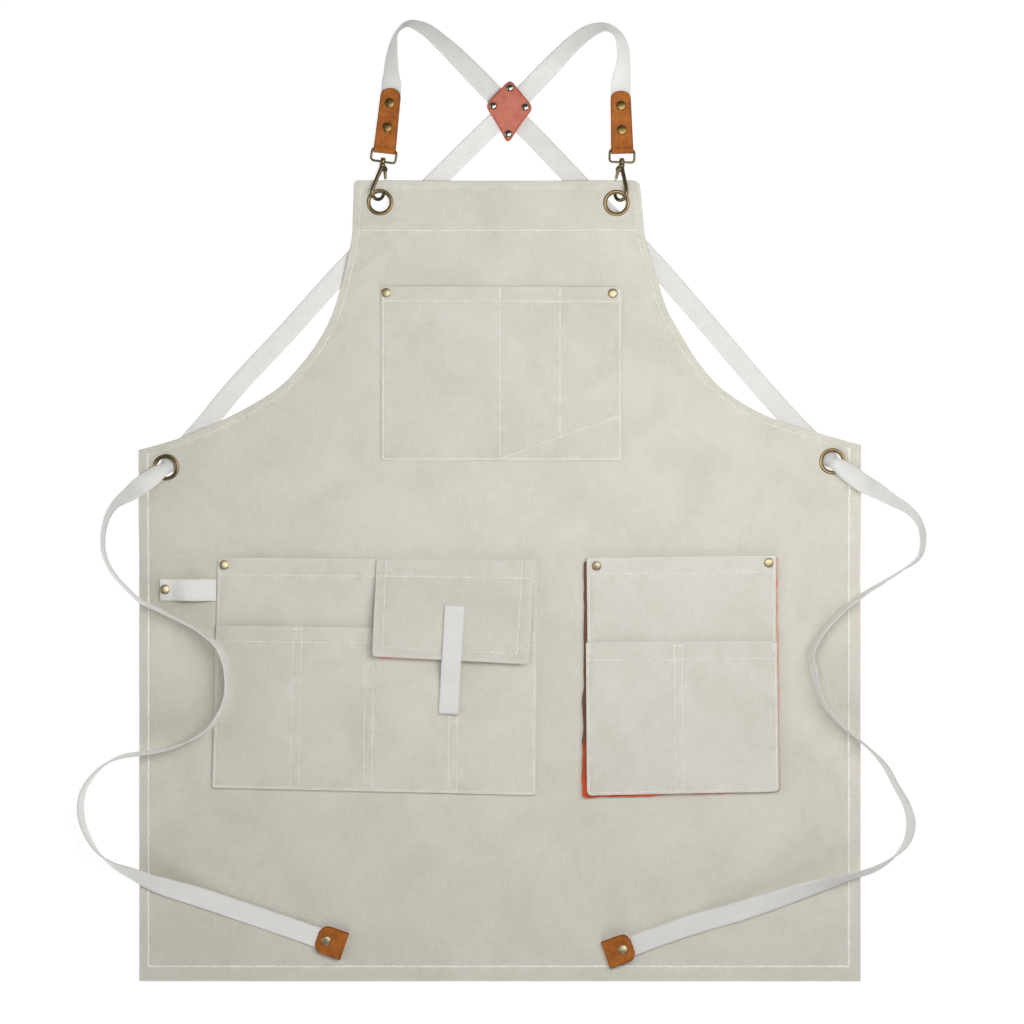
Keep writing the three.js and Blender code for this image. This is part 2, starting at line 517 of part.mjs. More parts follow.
// a folded strip of leather: `profile` is its side view (along, height), cut to a
// plan outline that is rounded at the strap end
function folded(profile, width, length, round, start) {
  const side = new THREE.ExtrudeGeometry(profile, { depth: width + 4, bevelEnabled: false, curveSegments: 6 })
    .applyMatrix4(new THREE.Matrix4().makeBasis(
      new THREE.Vector3(0, 1, 0), new THREE.Vector3(0, 0, 1), new THREE.Vector3(1, 0, 0)))
    .translate(-width / 2 - 2, 0, 0);
  const half = width / 2;
  const plan = new THREE.Shape();
  plan.moveTo(-half, start);
  plan.lineTo(half, start);
  plan.lineTo(half, length - round);
  plan.absellipse(half - round, length - round, round, round, 0, Math.PI / 2, false);
  plan.absellipse(round - half, length - round, round, round, Math.PI / 2, Math.PI, false);
  plan.closePath();
  return toSolid(side).intersect(toSolid(
    new THREE.ExtrudeGeometry(plan, { depth: 20, bevelEnabled: false, curveSegments: 4 }).translate(0, 0, -10)));
}

function hookParts(side) {
  // eye: a flat ring with a boss that the swivel post turns in
  const { half, foot, head, bar: thick, depth } = EYE;
  const ring = (inset, round, path) => {
    const [x, y0, y1] = [half - inset, foot + inset, head - inset];
    path.moveTo(-x + round, y0);
    path.lineTo(x - round, y0);
    path.absarc(x - round, y0 + round, round, -Math.PI / 2, 0, false);
    path.lineTo(x, y1 - round);
    path.absarc(x - round, y1 - round, round, 0, Math.PI / 2, false);
    path.lineTo(-x + round, y1);
    path.absarc(-x + round, y1 - round, round, Math.PI / 2, Math.PI, false);
    path.lineTo(-x, y0 + round);
    path.absarc(-x + round, y0 + round, round, Math.PI, Math.PI * 1.5, false);
    return path;
  };
  const shape = ring(0, 4.2, new THREE.Shape());
  shape.holes.push(ring(thick, 0.9, new THREE.Path()));
  const eye = toSolid(new THREE.ExtrudeGeometry(shape, {
    depth: depth - 1, bevelEnabled: true, bevelThickness: 0.5, bevelSize: 0.5, bevelOffset: -0.5, bevelSegments: 1, curveSegments: 2,
  }).translate(0, 0, -(depth - 1) / 2))
    .add(toSolid(new THREE.CylinderGeometry(2.8, 2.8, 3.8, 12)))
    .subtract(toSolid(new THREE.CylinderGeometry(1.6, 1.6, 12, 10)));

  // body: post with its head, collar, arm bent to a J, and two cheeks for the gate
  const post = toSolid(new THREE.LatheGeometry([
    [0, -6.4], [1.9, -6.4], [2.8, -5.2], [3, -3.2], [2.6, -2.25], [1.25, -2.25], [1.25, 2.25], [2.5, 2.25], [2.5, 2.9], [2.1, 3.8], [0, 4],
  ].map(([r, y]) => new THREE.Vector2(r, y)), 12));
  const arm = [[0, -5], [-2.6, -8.4], [-5.6, -14.5], [-6.9, -21], [-HOOK.half, -27]];
  for (let k = 0; k <= 6; k += 1) {
    const angle = Math.PI + (Math.PI * k) / 6;
    arm.push([HOOK.half * Math.cos(angle), HOOK.bend + HOOK.half * Math.sin(angle)]);
  }
  arm.push([HOOK.half, -24], [HOOK.half, HOOK.nose]);
  const wire = new THREE.Shape().absarc(0, 0, HOOK.wire, 0, Math.PI * 2, false);
  const path = new THREE.CatmullRomCurve3(arm.map(([x, y]) => new THREE.Vector3(-side * x, y, 0)), false, "centripetal");
  const sweep = toSolid(new THREE.ExtrudeGeometry(wire, { steps: 22, extrudePath: path, curveSegments: 4 }));
  const gatePivot = new THREE.Vector3(-side * HOOK.pivot[0], HOOK.pivot[1], 0);
  const cheekShape = new THREE.Shape([[-1.5, -3.6], [2.4, -3.6], [5.7, -6.4], [5.6, -8.9], [3.6, -9.6], [0, -8.6], [-1.7, -7]]
    .map(([x, y]) => new THREE.Vector2(-side * x, y)));
  let whole = post.add(sweep);
  for (const z of [-2.3, 1.45]) {
    whole = whole.add(toSolid(new THREE.ExtrudeGeometry(cheekShape, { depth: 0.85, bevelEnabled: false }).translate(0, 0, z)));
  }
  whole = whole.subtract(toSolid(new THREE.CylinderGeometry(1.1, 1.1, 10, 10).rotateX(Math.PI / 2)
    .translate(gatePivot.x, gatePivot.y, 0)));

  // gate: knuckle with its pin, and the bar that closes against the nose
  const tip = new THREE.Vector3(-side * HOOK.gateTip[0], HOOK.gateTip[1], 0);
  const length = tip.distanceTo(gatePivot);
  const turn = Math.atan2(tip.x - gatePivot.x, -(tip.y - gatePivot.y));
  const knuckle = toSolid(new THREE.CylinderGeometry(1.8, 1.8, 2.3, 12).rotateX(Math.PI / 2));
  const pin = toSolid(new THREE.CylinderGeometry(0.8, 0.8, 4.2, 10).rotateX(Math.PI / 2));
  const rod = toSolid(new THREE.CylinderGeometry(HOOK.gateWire, HOOK.gateWire, length, 10)
    .translate(0, -length / 2, 0).rotateZ(turn));
  return { eye, whole, gate: knuckle.add(pin).add(rod), gatePivot };
}

let strapLeft = ribbon(STRAP_LEFT, 2);
let strapRight = ribbon(STRAP_RIGHT, 2);
const boreStrap = { left: [], right: [] };

for (const [name, across, down, hookLean, tabLean, length, rivets, side] of SHOULDERS) {
  const hang = new THREE.Group();
  hang.position.copy(at(across, down, TILT.height));
  hang.rotation.set(rad(TILT.pitch), 0, rad(hookLean), "ZXY");
  apron.add(hang);
  const { eye, whole, gate, gatePivot } = hookParts(side);
  add(`hook_eye_${name}`, eye, BRASS_LOOK(), hang);
  const rolled = new THREE.Group();
  rolled.rotation.y = rad(-side * TILT.roll);
  hang.add(rolled);
  add(`hook_body_${name}`, whole, BRASS_LOOK(), rolled);
  add(`hook_gate_${name}`, gate, BRASS_LOOK(), rolled).position.copy(gatePivot);

  const tab = new THREE.Group();
  hang.updateMatrixWorld(true);
  tab.position.copy(hang.localToWorld(new THREE.Vector3(0, TAB.eyeAlong, 0)));
  const dip = Math.asin((TAB.endHeight - tab.position.z) / length);
  tab.rotation.set(dip, 0, rad(tabLean), "ZXY");
  apron.add(tab);
  const inner = WEB.thick / 2 + GAP;
  const outer = inner + LEATHER;
  const profile = new THREE.Shape();
  profile.moveTo(length, outer);
  profile.lineTo(5.2, outer);
  profile.absarc(0, 0, 3.95, rad(62), rad(298), false);
  profile.lineTo(5.2, -outer);
  profile.lineTo(length, -outer);
  profile.lineTo(length, -inner);
  profile.lineTo(4.4, -inner);
  profile.absarc(0, 0, 2.15, rad(318), rad(42), true);
  profile.lineTo(4.4, inner);
  profile.lineTo(length, inner);
  profile.closePath();
  let leather = folded(profile, TAB.width, length, 8.6, -8);
  tab.updateMatrixWorld(true);
  rivets.forEach((along, k) => {
    leather = leather.subtract(bar(new THREE.Vector3(0, along, 0), -10, 10, RIVET.hole));
    const place = tab.localToWorld(new THREE.Vector3(0, along, 0));
    boreStrap[name].push(place);
    add(`rivet_tab_${name}_${k + 1}`, rivet(-outer + 0.1, outer + 0.2), BRASS_LOOK(), tab).position.set(0, along, 0);
  });
  add(`shoulder_tab_${name}`, leather, LEATHER_LOOK(), tab);
}

// ------------------------------------------------------------- crossing patch
const patchShape = new THREE.Shape();
PATCH.corners.forEach((corner, k) => {
  const here = at(...corner);
  const before = at(...PATCH.corners[(k + 3) % 4]);
  const after = at(...PATCH.corners[(k + 1) % 4]);
  const enter = here.clone().add(before.sub(here).setLength(PATCH.round * 1.3));
  const leave = here.clone().add(after.sub(here).setLength(PATCH.round * 1.3));
  if (k === 0) patchShape.moveTo(enter.x, enter.y);
  else patchShape.lineTo(enter.x, enter.y);
  patchShape.quadraticCurveTo(here.x, here.y, leave.x, leave.y);
});
patchShape.closePath();
let patch = toSolid(new THREE.ExtrudeGeometry(patchShape, { depth: PATCH.thick, bevelEnabled: false, curveSegments: 4 })
  .translate(0, 0, PATCH.under));
PATCH_RIVETS.forEach(([a, d, foot], k) => {
  patch = patch.subtract(bar(at(a, d), -5, 20, RIVET.hole));
  boreStrap.left.push(at(a, d));
  boreStrap.right.push(at(a, d));
  add(`rivet_patch_${k + 1}`, rivet(foot, PATCH.under + PATCH.thick + 0.2, STUD), NICKEL_LOOK()).position.copy(at(a, d));
});
add("cross_patch", patch, PATCH_LOOK());

// ------------------------------------------------------------------- tie ends
for (const [name, across, down, turn, along] of TIE_CAPS) {
  const cap = new THREE.Group();
  cap.position.copy(at(across, down, CAP.height));
  cap.rotation.z = rad(turn);
  apron.add(cap);
  const inner = WEB.thick / 2 + GAP;
  const outer = inner + LEATHER;
  const profile = new THREE.Shape();
  profile.moveTo(CAP.length, outer);
  profile.lineTo(outer, outer);
  profile.absarc(outer, 0, outer, rad(90), rad(270), false);
  profile.lineTo(CAP.length, -outer);
  profile.lineTo(CAP.length, -inner);
  profile.lineTo(outer, -inner);
  profile.absarc(outer, 0, inner, rad(270), rad(90), true);
  profile.lineTo(CAP.length, inner);
  profile.closePath();
  const leather = folded(profile, CAP.width, CAP.length, 9, -2)
    .subtract(bar(new THREE.Vector3(0, along, 0), -10, 10, RIVET.hole));
  add(`tie_cap_${name}`, leather, LEATHER_LOOK(), cap);
  cap.updateMatrixWorld(true);
  // the left shoulder's strap ends in the right tie, and the other way round
  boreStrap[name === "left" ? "right" : "left"].push(cap.localToWorld(new THREE.Vector3(0, along, 0)));
  add(`rivet_tie_${name}`, rivet(-outer + 0.1, outer + 0.2), BRASS_LOOK(), cap).position.set(0, along, 0);
}

for (const place of boreStrap.left) strapLeft = strapLeft.subtract(bar(place, -5, 20, RIVET.hole));
for (const place of boreStrap.right) strapRight = strapRight.subtract(bar(place, -5, 20, RIVET.hole));
add("strap_left", strapLeft, WEB_LOOK());
add("strap_right", strapRight, WEB_LOOK());
add("flap_tab", ribbon(FLAP_TAB_ROWS, 2), WEB_LOOK());

export default apron;
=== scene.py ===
"""Looks of the canvas work apron, lying flat with its straps spread out.

Shapes are worked out in millimetres on the layout sheet: (across, down) as in
the part's tables, with height above the floor.  ORIGIN is the sheet point that
lies at x = y = 0.  Everything is turned to metres when a mesh is made.
"""

import json
import math

import bpy
import numpy as np
from mathutils import Vector
from mathutils.geometry import delaunay_2d_cdt
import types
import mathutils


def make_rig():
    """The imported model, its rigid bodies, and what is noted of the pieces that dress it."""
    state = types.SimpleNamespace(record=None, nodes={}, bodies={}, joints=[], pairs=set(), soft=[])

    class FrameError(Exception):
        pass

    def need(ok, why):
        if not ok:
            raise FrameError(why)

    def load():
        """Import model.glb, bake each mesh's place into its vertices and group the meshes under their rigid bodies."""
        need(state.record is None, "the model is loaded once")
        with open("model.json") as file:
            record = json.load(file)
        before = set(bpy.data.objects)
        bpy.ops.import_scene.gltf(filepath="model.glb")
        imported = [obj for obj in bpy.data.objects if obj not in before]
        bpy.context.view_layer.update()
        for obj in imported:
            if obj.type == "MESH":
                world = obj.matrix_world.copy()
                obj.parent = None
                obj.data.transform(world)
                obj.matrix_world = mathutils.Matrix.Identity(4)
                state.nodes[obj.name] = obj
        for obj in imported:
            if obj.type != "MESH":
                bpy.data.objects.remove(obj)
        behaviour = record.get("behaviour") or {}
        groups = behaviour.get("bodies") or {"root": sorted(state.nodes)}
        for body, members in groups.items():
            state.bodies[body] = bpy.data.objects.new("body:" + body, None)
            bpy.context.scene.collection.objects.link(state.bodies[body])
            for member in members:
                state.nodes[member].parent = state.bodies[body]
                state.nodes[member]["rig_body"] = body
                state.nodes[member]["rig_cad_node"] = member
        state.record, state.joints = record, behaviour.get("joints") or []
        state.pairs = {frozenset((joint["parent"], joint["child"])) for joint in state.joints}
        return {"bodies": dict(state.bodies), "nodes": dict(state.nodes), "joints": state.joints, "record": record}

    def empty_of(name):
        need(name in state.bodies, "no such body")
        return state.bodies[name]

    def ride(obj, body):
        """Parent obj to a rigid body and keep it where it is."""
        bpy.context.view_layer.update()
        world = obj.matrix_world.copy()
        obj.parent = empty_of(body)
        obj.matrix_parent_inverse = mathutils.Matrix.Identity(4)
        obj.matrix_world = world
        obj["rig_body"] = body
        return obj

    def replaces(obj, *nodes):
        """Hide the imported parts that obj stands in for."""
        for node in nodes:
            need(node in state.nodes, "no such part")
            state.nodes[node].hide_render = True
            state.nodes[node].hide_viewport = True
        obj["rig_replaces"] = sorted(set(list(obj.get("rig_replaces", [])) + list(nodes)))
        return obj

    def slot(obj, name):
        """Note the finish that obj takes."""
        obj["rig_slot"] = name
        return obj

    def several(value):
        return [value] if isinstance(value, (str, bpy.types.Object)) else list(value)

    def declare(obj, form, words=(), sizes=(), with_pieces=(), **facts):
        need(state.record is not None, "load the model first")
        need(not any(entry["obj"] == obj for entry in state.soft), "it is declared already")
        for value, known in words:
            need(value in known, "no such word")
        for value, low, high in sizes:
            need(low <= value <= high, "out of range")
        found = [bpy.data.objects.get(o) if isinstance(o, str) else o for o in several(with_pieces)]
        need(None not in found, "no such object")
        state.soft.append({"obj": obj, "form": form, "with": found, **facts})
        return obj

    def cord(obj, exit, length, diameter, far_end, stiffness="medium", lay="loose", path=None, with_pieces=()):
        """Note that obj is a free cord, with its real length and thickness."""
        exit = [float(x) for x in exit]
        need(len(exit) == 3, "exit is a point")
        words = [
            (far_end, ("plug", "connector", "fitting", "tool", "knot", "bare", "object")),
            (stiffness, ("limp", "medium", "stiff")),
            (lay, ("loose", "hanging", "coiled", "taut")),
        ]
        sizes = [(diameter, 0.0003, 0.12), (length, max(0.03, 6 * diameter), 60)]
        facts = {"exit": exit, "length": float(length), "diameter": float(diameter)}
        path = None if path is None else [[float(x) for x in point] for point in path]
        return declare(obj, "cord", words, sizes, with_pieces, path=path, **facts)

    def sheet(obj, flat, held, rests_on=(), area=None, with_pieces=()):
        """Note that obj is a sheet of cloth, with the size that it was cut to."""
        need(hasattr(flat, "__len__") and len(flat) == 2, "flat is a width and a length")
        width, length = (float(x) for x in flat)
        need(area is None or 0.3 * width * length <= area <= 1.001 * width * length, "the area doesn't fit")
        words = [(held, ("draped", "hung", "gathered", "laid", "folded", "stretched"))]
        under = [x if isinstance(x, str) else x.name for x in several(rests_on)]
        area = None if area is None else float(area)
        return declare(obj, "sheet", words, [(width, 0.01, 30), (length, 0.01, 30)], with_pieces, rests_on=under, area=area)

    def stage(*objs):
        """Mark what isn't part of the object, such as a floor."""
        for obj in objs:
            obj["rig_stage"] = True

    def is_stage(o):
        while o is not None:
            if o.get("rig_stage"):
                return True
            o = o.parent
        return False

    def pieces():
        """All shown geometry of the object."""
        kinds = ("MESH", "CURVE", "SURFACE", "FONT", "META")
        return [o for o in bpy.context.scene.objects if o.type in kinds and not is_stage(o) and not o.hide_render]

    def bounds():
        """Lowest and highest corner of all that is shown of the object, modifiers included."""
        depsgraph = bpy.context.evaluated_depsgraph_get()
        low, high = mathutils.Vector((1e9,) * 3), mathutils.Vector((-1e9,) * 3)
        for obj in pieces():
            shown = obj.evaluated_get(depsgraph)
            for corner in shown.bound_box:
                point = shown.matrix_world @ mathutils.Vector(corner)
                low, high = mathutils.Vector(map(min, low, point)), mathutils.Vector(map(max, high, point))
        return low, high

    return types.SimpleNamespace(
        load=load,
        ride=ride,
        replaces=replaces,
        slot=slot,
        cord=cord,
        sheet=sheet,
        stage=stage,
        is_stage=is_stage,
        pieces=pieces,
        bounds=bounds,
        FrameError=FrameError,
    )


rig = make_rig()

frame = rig.load()
CAD_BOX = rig.bounds()

# ------------------------------------------------------------------ dimensions
ORIGIN = np.array([500.0, 580.0])
GAP, CANVAS, LINING, LEATHER = 0.3, 1.2, 1.0, 1.8
WEB_WIDTH, WEB_THICK = 20.0, 1.8

TOP, BOTTOM, LEFT, RIGHT = 180.5, 981.8, 138.8, 861.0
BIB_LEFT, BIB_RIGHT = 354.0, 637.0
SHOULDER_LEFT, SHOULDER_RIGHT = 450.0, 445.0
ARMHOLE = np.array([
    [190, 353.8, 640.5], [215, 353, 643], [240, 351.5, 646], [264, 346, 653],
    [288, 340.5, 660], [312, 333, 668.5], [336, 321.5, 682], [360, 305, 697],
    [384, 283, 717], [400, 260, 738], [416, 231, 767], [430, 199, 808],
    [440, 174, 843],
], float)
GROMMETS = {
    "grommet_bib_left": (380, 202.5), "grommet_bib_right": (616.4, 203.3),
    "grommet_side_left": (166, 467.4), "grommet_side_right": (832.3, 461.4),
}
BORE, BARREL, HOLE, FLANGE = 9.25, 10.3, 10.7, 13.25
LIFTS = [
    (380, 202.5, 6.28, 21, 80), (616.4, 203.3, 6.28, 21, 80),
    (166, 467.4, 5.2, 40, 95), (832.3, 461.4, 5.2, 40, 95),
    (206, 424, 2.7, 36, 84), (793, 423, 2.7, 36, 84),
]
BIB_RIDE = (2.3, 465, 545)

# widths of the hems from the panel's edge to their stitching
HEM = {"left": 9.1, "right": 11.7, "bottom": 14.9, "top": 7.6, "armhole": 7.0}
FACING = 230.6  # lower stitching of the facing inside the bib's top

BIB_POCKET = dict(rect=(381, 622, 286, 461), corners=((381, 286), (622, 286.5), (622, 461), (381, 461)))
TOOL_POCKET = dict(rect=(217, 537, 557, 794), corners=((217.5, 557), (537, 560), (536, 795.5), (212, 788)))
TOOL_MOUTH = 627
FLAP = dict(rect=(375, 534, 560, 661), corners=((376.5, 559.5), (535, 561), (529, 664), (372.5, 656)))
FLAP_LINING = dict(rect=(380, 520, 582, 662), corners=((381, 582), (522, 582), (520, 659.2), (375.5, 657.2)))
POUCH = dict(rect=(588, 777, 556, 794), corners=((586.6, 557.6), (776, 555.3), (776, 789.5), (588.5, 793.5)))
POUCH_MOUTH = 642
POUCH_POCKET = dict(rect=(588, 777, 642, 794), corners=((585.8, 642), (776.8, 640.6), (778.8, 791.5), (586.8, 795.3)))
POUCH_LINING = dict(rect=(584, 779, 558, 798), corners=((584.3, 561), (777.8, 557.5), (779.8, 790.5), (582.3, 798)))
BIB_ROOMS = [(391.5, 500, 6.6), (500, 560, 6.2), (560, 607, 6.2)]
TOOL_ROOMS = [(219, 296, 6.2), (301, 368, 6.2), (373, 452, 5.8), (457, 535, 5.8)]
BACK_ROOM = [(230, 372, 7)]
POUCH_ROOMS = [(590, 676, 6.2), (682, 775, 6.2)]
SLANT = ((500, 461), (622, 415))
SLACK = 0.3  # how much of its room an empty pocket takes up
FLAP_ROWS = [(560, 3.0), (577, 3.0), (593, 5.8), (611, 9.0), (626, 10.6), (645, 10.8), (662, 10.5)]
TOOL_LOOP = dict(left=159.5, right=216, top=579, bottom=601, flat=171, rise=8.4)

ROLL, PITCH, HOOK_HEIGHT = 40, -2.74, 5.6
SHOULDERS = [
    ("left", 382.9, 161.5, -8.8, -6.2, 61.6, (22, 46.5), -1),
    ("right", 621.8, 162, -2, 1.6, 59, (19.5, 44), 1),
]
TAB_END_HEIGHT, EYE_ALONG = 3.35, 12.05
PATCH = ((510.2, 79), (533.5, 107.8), (507.8, 144), (485.2, 105))
PATCH_UNDER, PATCH_THICK = 4.4, 2.0
PATCH_RIVETS = [(510, 88), (493.1, 106), (525.4, 107.5), (508.3, 134)]
TIE_CAPS = [("left", 344.8, 946.8, 71.1, 19.5), ("right", 605.4, 955.4, -70.5, 18.6)]
CAP_WIDTH, CAP_LENGTH, CAP_HEIGHT = 28, 29, 4.5
POCKET_RIVETS = {
    "rivet_bib_pocket_left": (385.9, 292.9), "rivet_bib_pocket_right": (612.6, 293.4),
    "rivet_tool_pocket": (224.2, 565), "rivet_tool_loop": (164.8, 589.5),
    "rivet_pouch_left": (596.2, 566.2), "rivet_pouch_right": (768.5, 562.9),
}

# straps: across, down, roll, curl across the width, height (None: lies on what is below)
STRAP_LEFT = [
    (386.3, 137.6, 0, 0, 4.7), (391.3, 88.5, 0, 0, 3.35), (391.5, 84.2, 6, 0, 3.5),
    (391.6, 76, 32, 0, None), (391.8, 61, 48, 0, None), (393.3, 47, 62, 0, None),
    (397.2, 33.4, 76, 0, None), (408.5, 24.7, 62, 0, None), (423.7, 28.9, 44, 0, None),
    (441, 42, 32, 0, None), (459.6, 59.4, 14, 0, None), (471.5, 71.2, 4, 0, None),
    (482.5, 82.1, 0, 0, 1.2), (508.5, 110, 0, 0, 1.1), (545, 147.5, 0, 0, 1.1),
    (574, 178, 0, 0, 1.1), (652.4, 260.6, 0, 0, 1.1), (701.4, 316.5, 0, 0, 1.1),
    (768.6, 394.6, 0, 0, 1.1), (795.8, 424.2, 0, 0, 1.1), (812.4, 441.1, 0, 0, 1.2),
    (825.5, 454.7, 0, 32, 2.6), (830.2, 459.3, 0, 190, 8.4), (834.5, 463, 0, 190, 15),
    (842, 468.4, 0, 130, 15.4), (850.5, 474.2, 6, 80, 13.4), (861.5, 482, 16, 36, None),
    (876, 489.8, 31, 10, None), (892.2, 500.3, 49, 0, None), (907.2, 509, 59, 0, None),
    (918, 521, 63, 0, None), (922.5, 537, 65, 0, None), (919, 556.2, 71, 0, None),
    (899, 571.7, 87, 0, None), (865.2, 592.5, 96, 0, None), (838, 613.5, 97, 0, None),
    (817, 639, 97, 0, None), (810.5, 654, 104, 0, None), (813, 670, 105, 0, None),
    (816.5, 686, 101, 0, None), (822.6, 703.3, 100, 0, None), (838, 722.3, 96, 0, None),
    (866.6, 746.4, 93, 0, None), (883.2, 763.6, 101, 0, None), (894.6, 783.4, 103.5, 0, None),
    (906.8, 806.5, 107, 0, None), (910.5, 824, 109, 0, None), (905.6, 842.3, 100, 0, None),
    (898.4, 851.5, 89, 0, None), (890.5, 858.7, 75, 0, None), (871.8, 869.1, 66, 0, None),
    (849, 875.5, 63, 0, None), (828, 882, 48, 0, None), (798, 892, 29, 0, None),
    (744, 910, 8, 0, None), (694, 924.5, 0, 0, None), (655, 938, 0, 0, None),
    (633, 945.8, 0, 0, 4.5), (610.6, 953.7, 0, 0, 4.5),
]
STRAP_RIGHT = [
    (621.9, 137.8, 0, 0, 4.7), (620.6, 90, 0, 0, 3.35), (620.8, 85.8, -5, 0, 3.5),
    (621.6, 77, -26, 0, None), (623.4, 62, -46, 0, None), (622.6, 47.3, -49, 0, None),
    (617.6, 35, -59, 0, None), (606.5, 28, -57, 0, None), (592.5, 30.5, -41, 0, None),
    (576.5, 41, -29, 0, None), (557.7, 59.2, -15, 0, None), (547, 70.1, -4, 0, None),
    (537, 80.4, 0, 0, 1.2), (519, 99.3, 0, 0, 3.2), (508.5, 110, 0, 0, 3.2),
    (498, 119.8, 0, 0, 3.2), (470, 146.3, 0, 0, 1.1), (438, 178, 0, 0, 1.1),
    (352, 260.7, 0, 0, 1.1), (286.2, 332.9, 0, 0, 1.1), (234.6, 388.1, 0, 0, 1.1),
    (203.4, 426, 0, 0, 1.1), (185.2, 446.4, 0, 0, 1.2), (172.5, 460.4, 0, 32, 2.6),
    (168, 465.2, 0, 190, 8.4), (163.8, 469, 0, 190, 15), (156.4, 474.6, 0, 130, 15.4),
    (148, 480.4, -6, 80, 13.4), (137.4, 488.1, -22, 36, None), (125.6, 496.3, -44, 10, None),
    (115, 505.8, -61, 0, None), (107.3, 518.8, -67, 0, None), (104, 536.1, -70, 0, None),
    (104.6, 552.9, -71, 0, None), (111.4, 569.2, -74, 0, None), (123.7, 584.4, -75, 0, None),
    (141, 600.4, -75, 0, None), (159.4, 609.6, -75, 0, None), (181.8, 621.2, -80, 0, None),
    (202, 632.6, -88, 0, None), (217, 643.5, -97, 0, None), (225, 658.5, -99, 0, None),
    (228, 678, -96, 0, None), (226.5, 697, -96, 0, None), (220, 714, -97, 0, None),
    (208.5, 729, -96, 0, None), (190, 740.5, -92, 0, None), (168, 748.5, -87, 0, None),
    (144.5, 752.5, -84, 0, None), (120.7, 756.3, -84, 0, None), (102.7, 766.1, -94, 0, None),
    (90.8, 779.2, -97, 0, None), (83.4, 792.3, -99.5, 0, None), (81.3, 808, -101, 0, None),
    (83.7, 823.6, -99, 0, None), (90.8, 840.3, -94, 0, None), (99.9, 853.1, -84, 0, None),
    (113.1, 863.8, -68, 0, None), (127.1, 870.6, -53, 0, None), (142.6, 877.3, -40, 0, None),
    (160, 885, -25, 0, None), (192, 895, -8, 0, None), (234, 909, 0, 0, None),
    (290, 928, 0, 0, None), (316, 937, 0, 0, 4.5), (339.6, 945, 0, 0, 4.5),
]
FLAP_TAB = [
    (455, 605, 0, 0, None), (454, 621, 0, 0, None), (453, 640, 0, 0, None),
    (451.6, 662, 0, 0, None), (450.2, 686, 0, 0, None), (448.6, 714, 0, 0, None),
]

# soft creases of the panel: from (across, down), to, half width, height
CREASES = [
    (346, 284, 404, 236, 5.5, 1.5), (352, 296, 376, 274, 6, 0.9), (362, 222, 398, 223, 3.4, 2.2), (598, 224, 634, 223, 3.4, 2.0), (640, 262, 622, 236, 6, 0.7),
    (300, 392, 352, 352, 10, 0.9), (250, 404, 262, 468, 9, 1.0), (288, 420, 300, 486, 11, 0.7),
    (690, 388, 652, 352, 10, 0.8), (628, 476, 702, 502, 9, 0.9), (655, 520, 668, 560, 8, 0.8),
    (742, 424, 730, 492, 10, 0.8), (418, 496, 486, 508, 9, 0.7), (520, 486, 590, 520, 12, 0.7),
    (300, 836, 322, 934, 13, 0.9), (452, 830, 430, 900, 12, 0.8), (546, 842, 528, 940, 13, 0.9),
    (700, 826, 722, 904, 12, 0.9), (650, 850, 640, 900, 9, 0.6), (178, 650, 186, 716, 9, 0.8),
    (190, 810, 226, 862, 11, 0.8), (806, 724, 796, 800, 10, 0.8), (560, 600, 566, 700, 8, 0.7),
]


# --------------------------------------------------------------------- camera
def put_camera():
    data = bpy.data.cameras.new("camera")
    data.sensor_fit = "HORIZONTAL"
    data.sensor_width = 36
    data.lens = 105
    data.clip_end = 40
    camera = bpy.data.objects.new("camera", data)
    bpy.context.scene.collection.objects.link(camera)
    camera.location = (0.012, 0.068, 2.992)
    bpy.context.scene.camera = camera


put_camera()


# -------------------------------------------------------------------- numbers
def fade(d, near, far):
    t = np.clip((far - np.asarray(d, float)) / (far - near), 0, 1)
    return t * t * (3 - 2 * t)


def lattice(ix, iy, seed):
    n = (ix.astype(np.int64) * 374761393 + iy.astype(np.int64) * 668265263 + seed * 1442695041) & 0xFFFFFFFF
    n = ((n ^ (n >> 13)) * 1274126177) & 0xFFFFFFFF
    n = n ^ (n >> 16)
    return (n & 0xFFFF) / 32767.5 - 1


def wander(x, y, size, seed):
    """Smooth noise from -1 to 1 with features of about that size."""
    x, y = np.asarray(x, float) / size, np.asarray(y, float) / size
    ix, iy = np.floor(x), np.floor(y)
    u, v = x - ix, y - iy
    u, v = u * u * u * (u * (6 * u - 15) + 10), v * v * v * (v * (6 * v - 15) + 10)
    a, b = lattice(ix, iy, seed), lattice(ix + 1, iy, seed)
    c, d = lattice(ix, iy + 1, seed), lattice(ix + 1, iy + 1, seed)
    return (a + (b - a) * u) * (1 - v) + (c + (d - c) * u) * v


def to_line(a, d, line):
    """Distance of points from a polyline."""
    a, d = np.asarray(a, float), np.asarray(d, float)
    best = np.full(a.shape, 1e9)
    for (a0, d0), (a1, d1) in zip(line[:-1], line[1:]):
        ua, ud = a1 - a0, d1 - d0
        t = np.clip(((a - a0) * ua + (d - d0) * ud) / (ua * ua + ud * ud + 1e-12), 0, 1)
        best = np.minimum(best, np.hypot(a - a0 - t * ua, d - d0 - t * ud))
    return best


def between(rows, key):
    return np.interp(key, [r[0] for r in rows], [r[1] for r in rows])


def smooth_between(rows, key):
    """between(), rounded off over a few millimetres."""
    key = np.asarray(key, float)
    return sum(w * between(rows, key + s) for s, w in ((-8, 0.15), (-4, 0.2), (0, 0.3), (4, 0.2), (8, 0.15)))


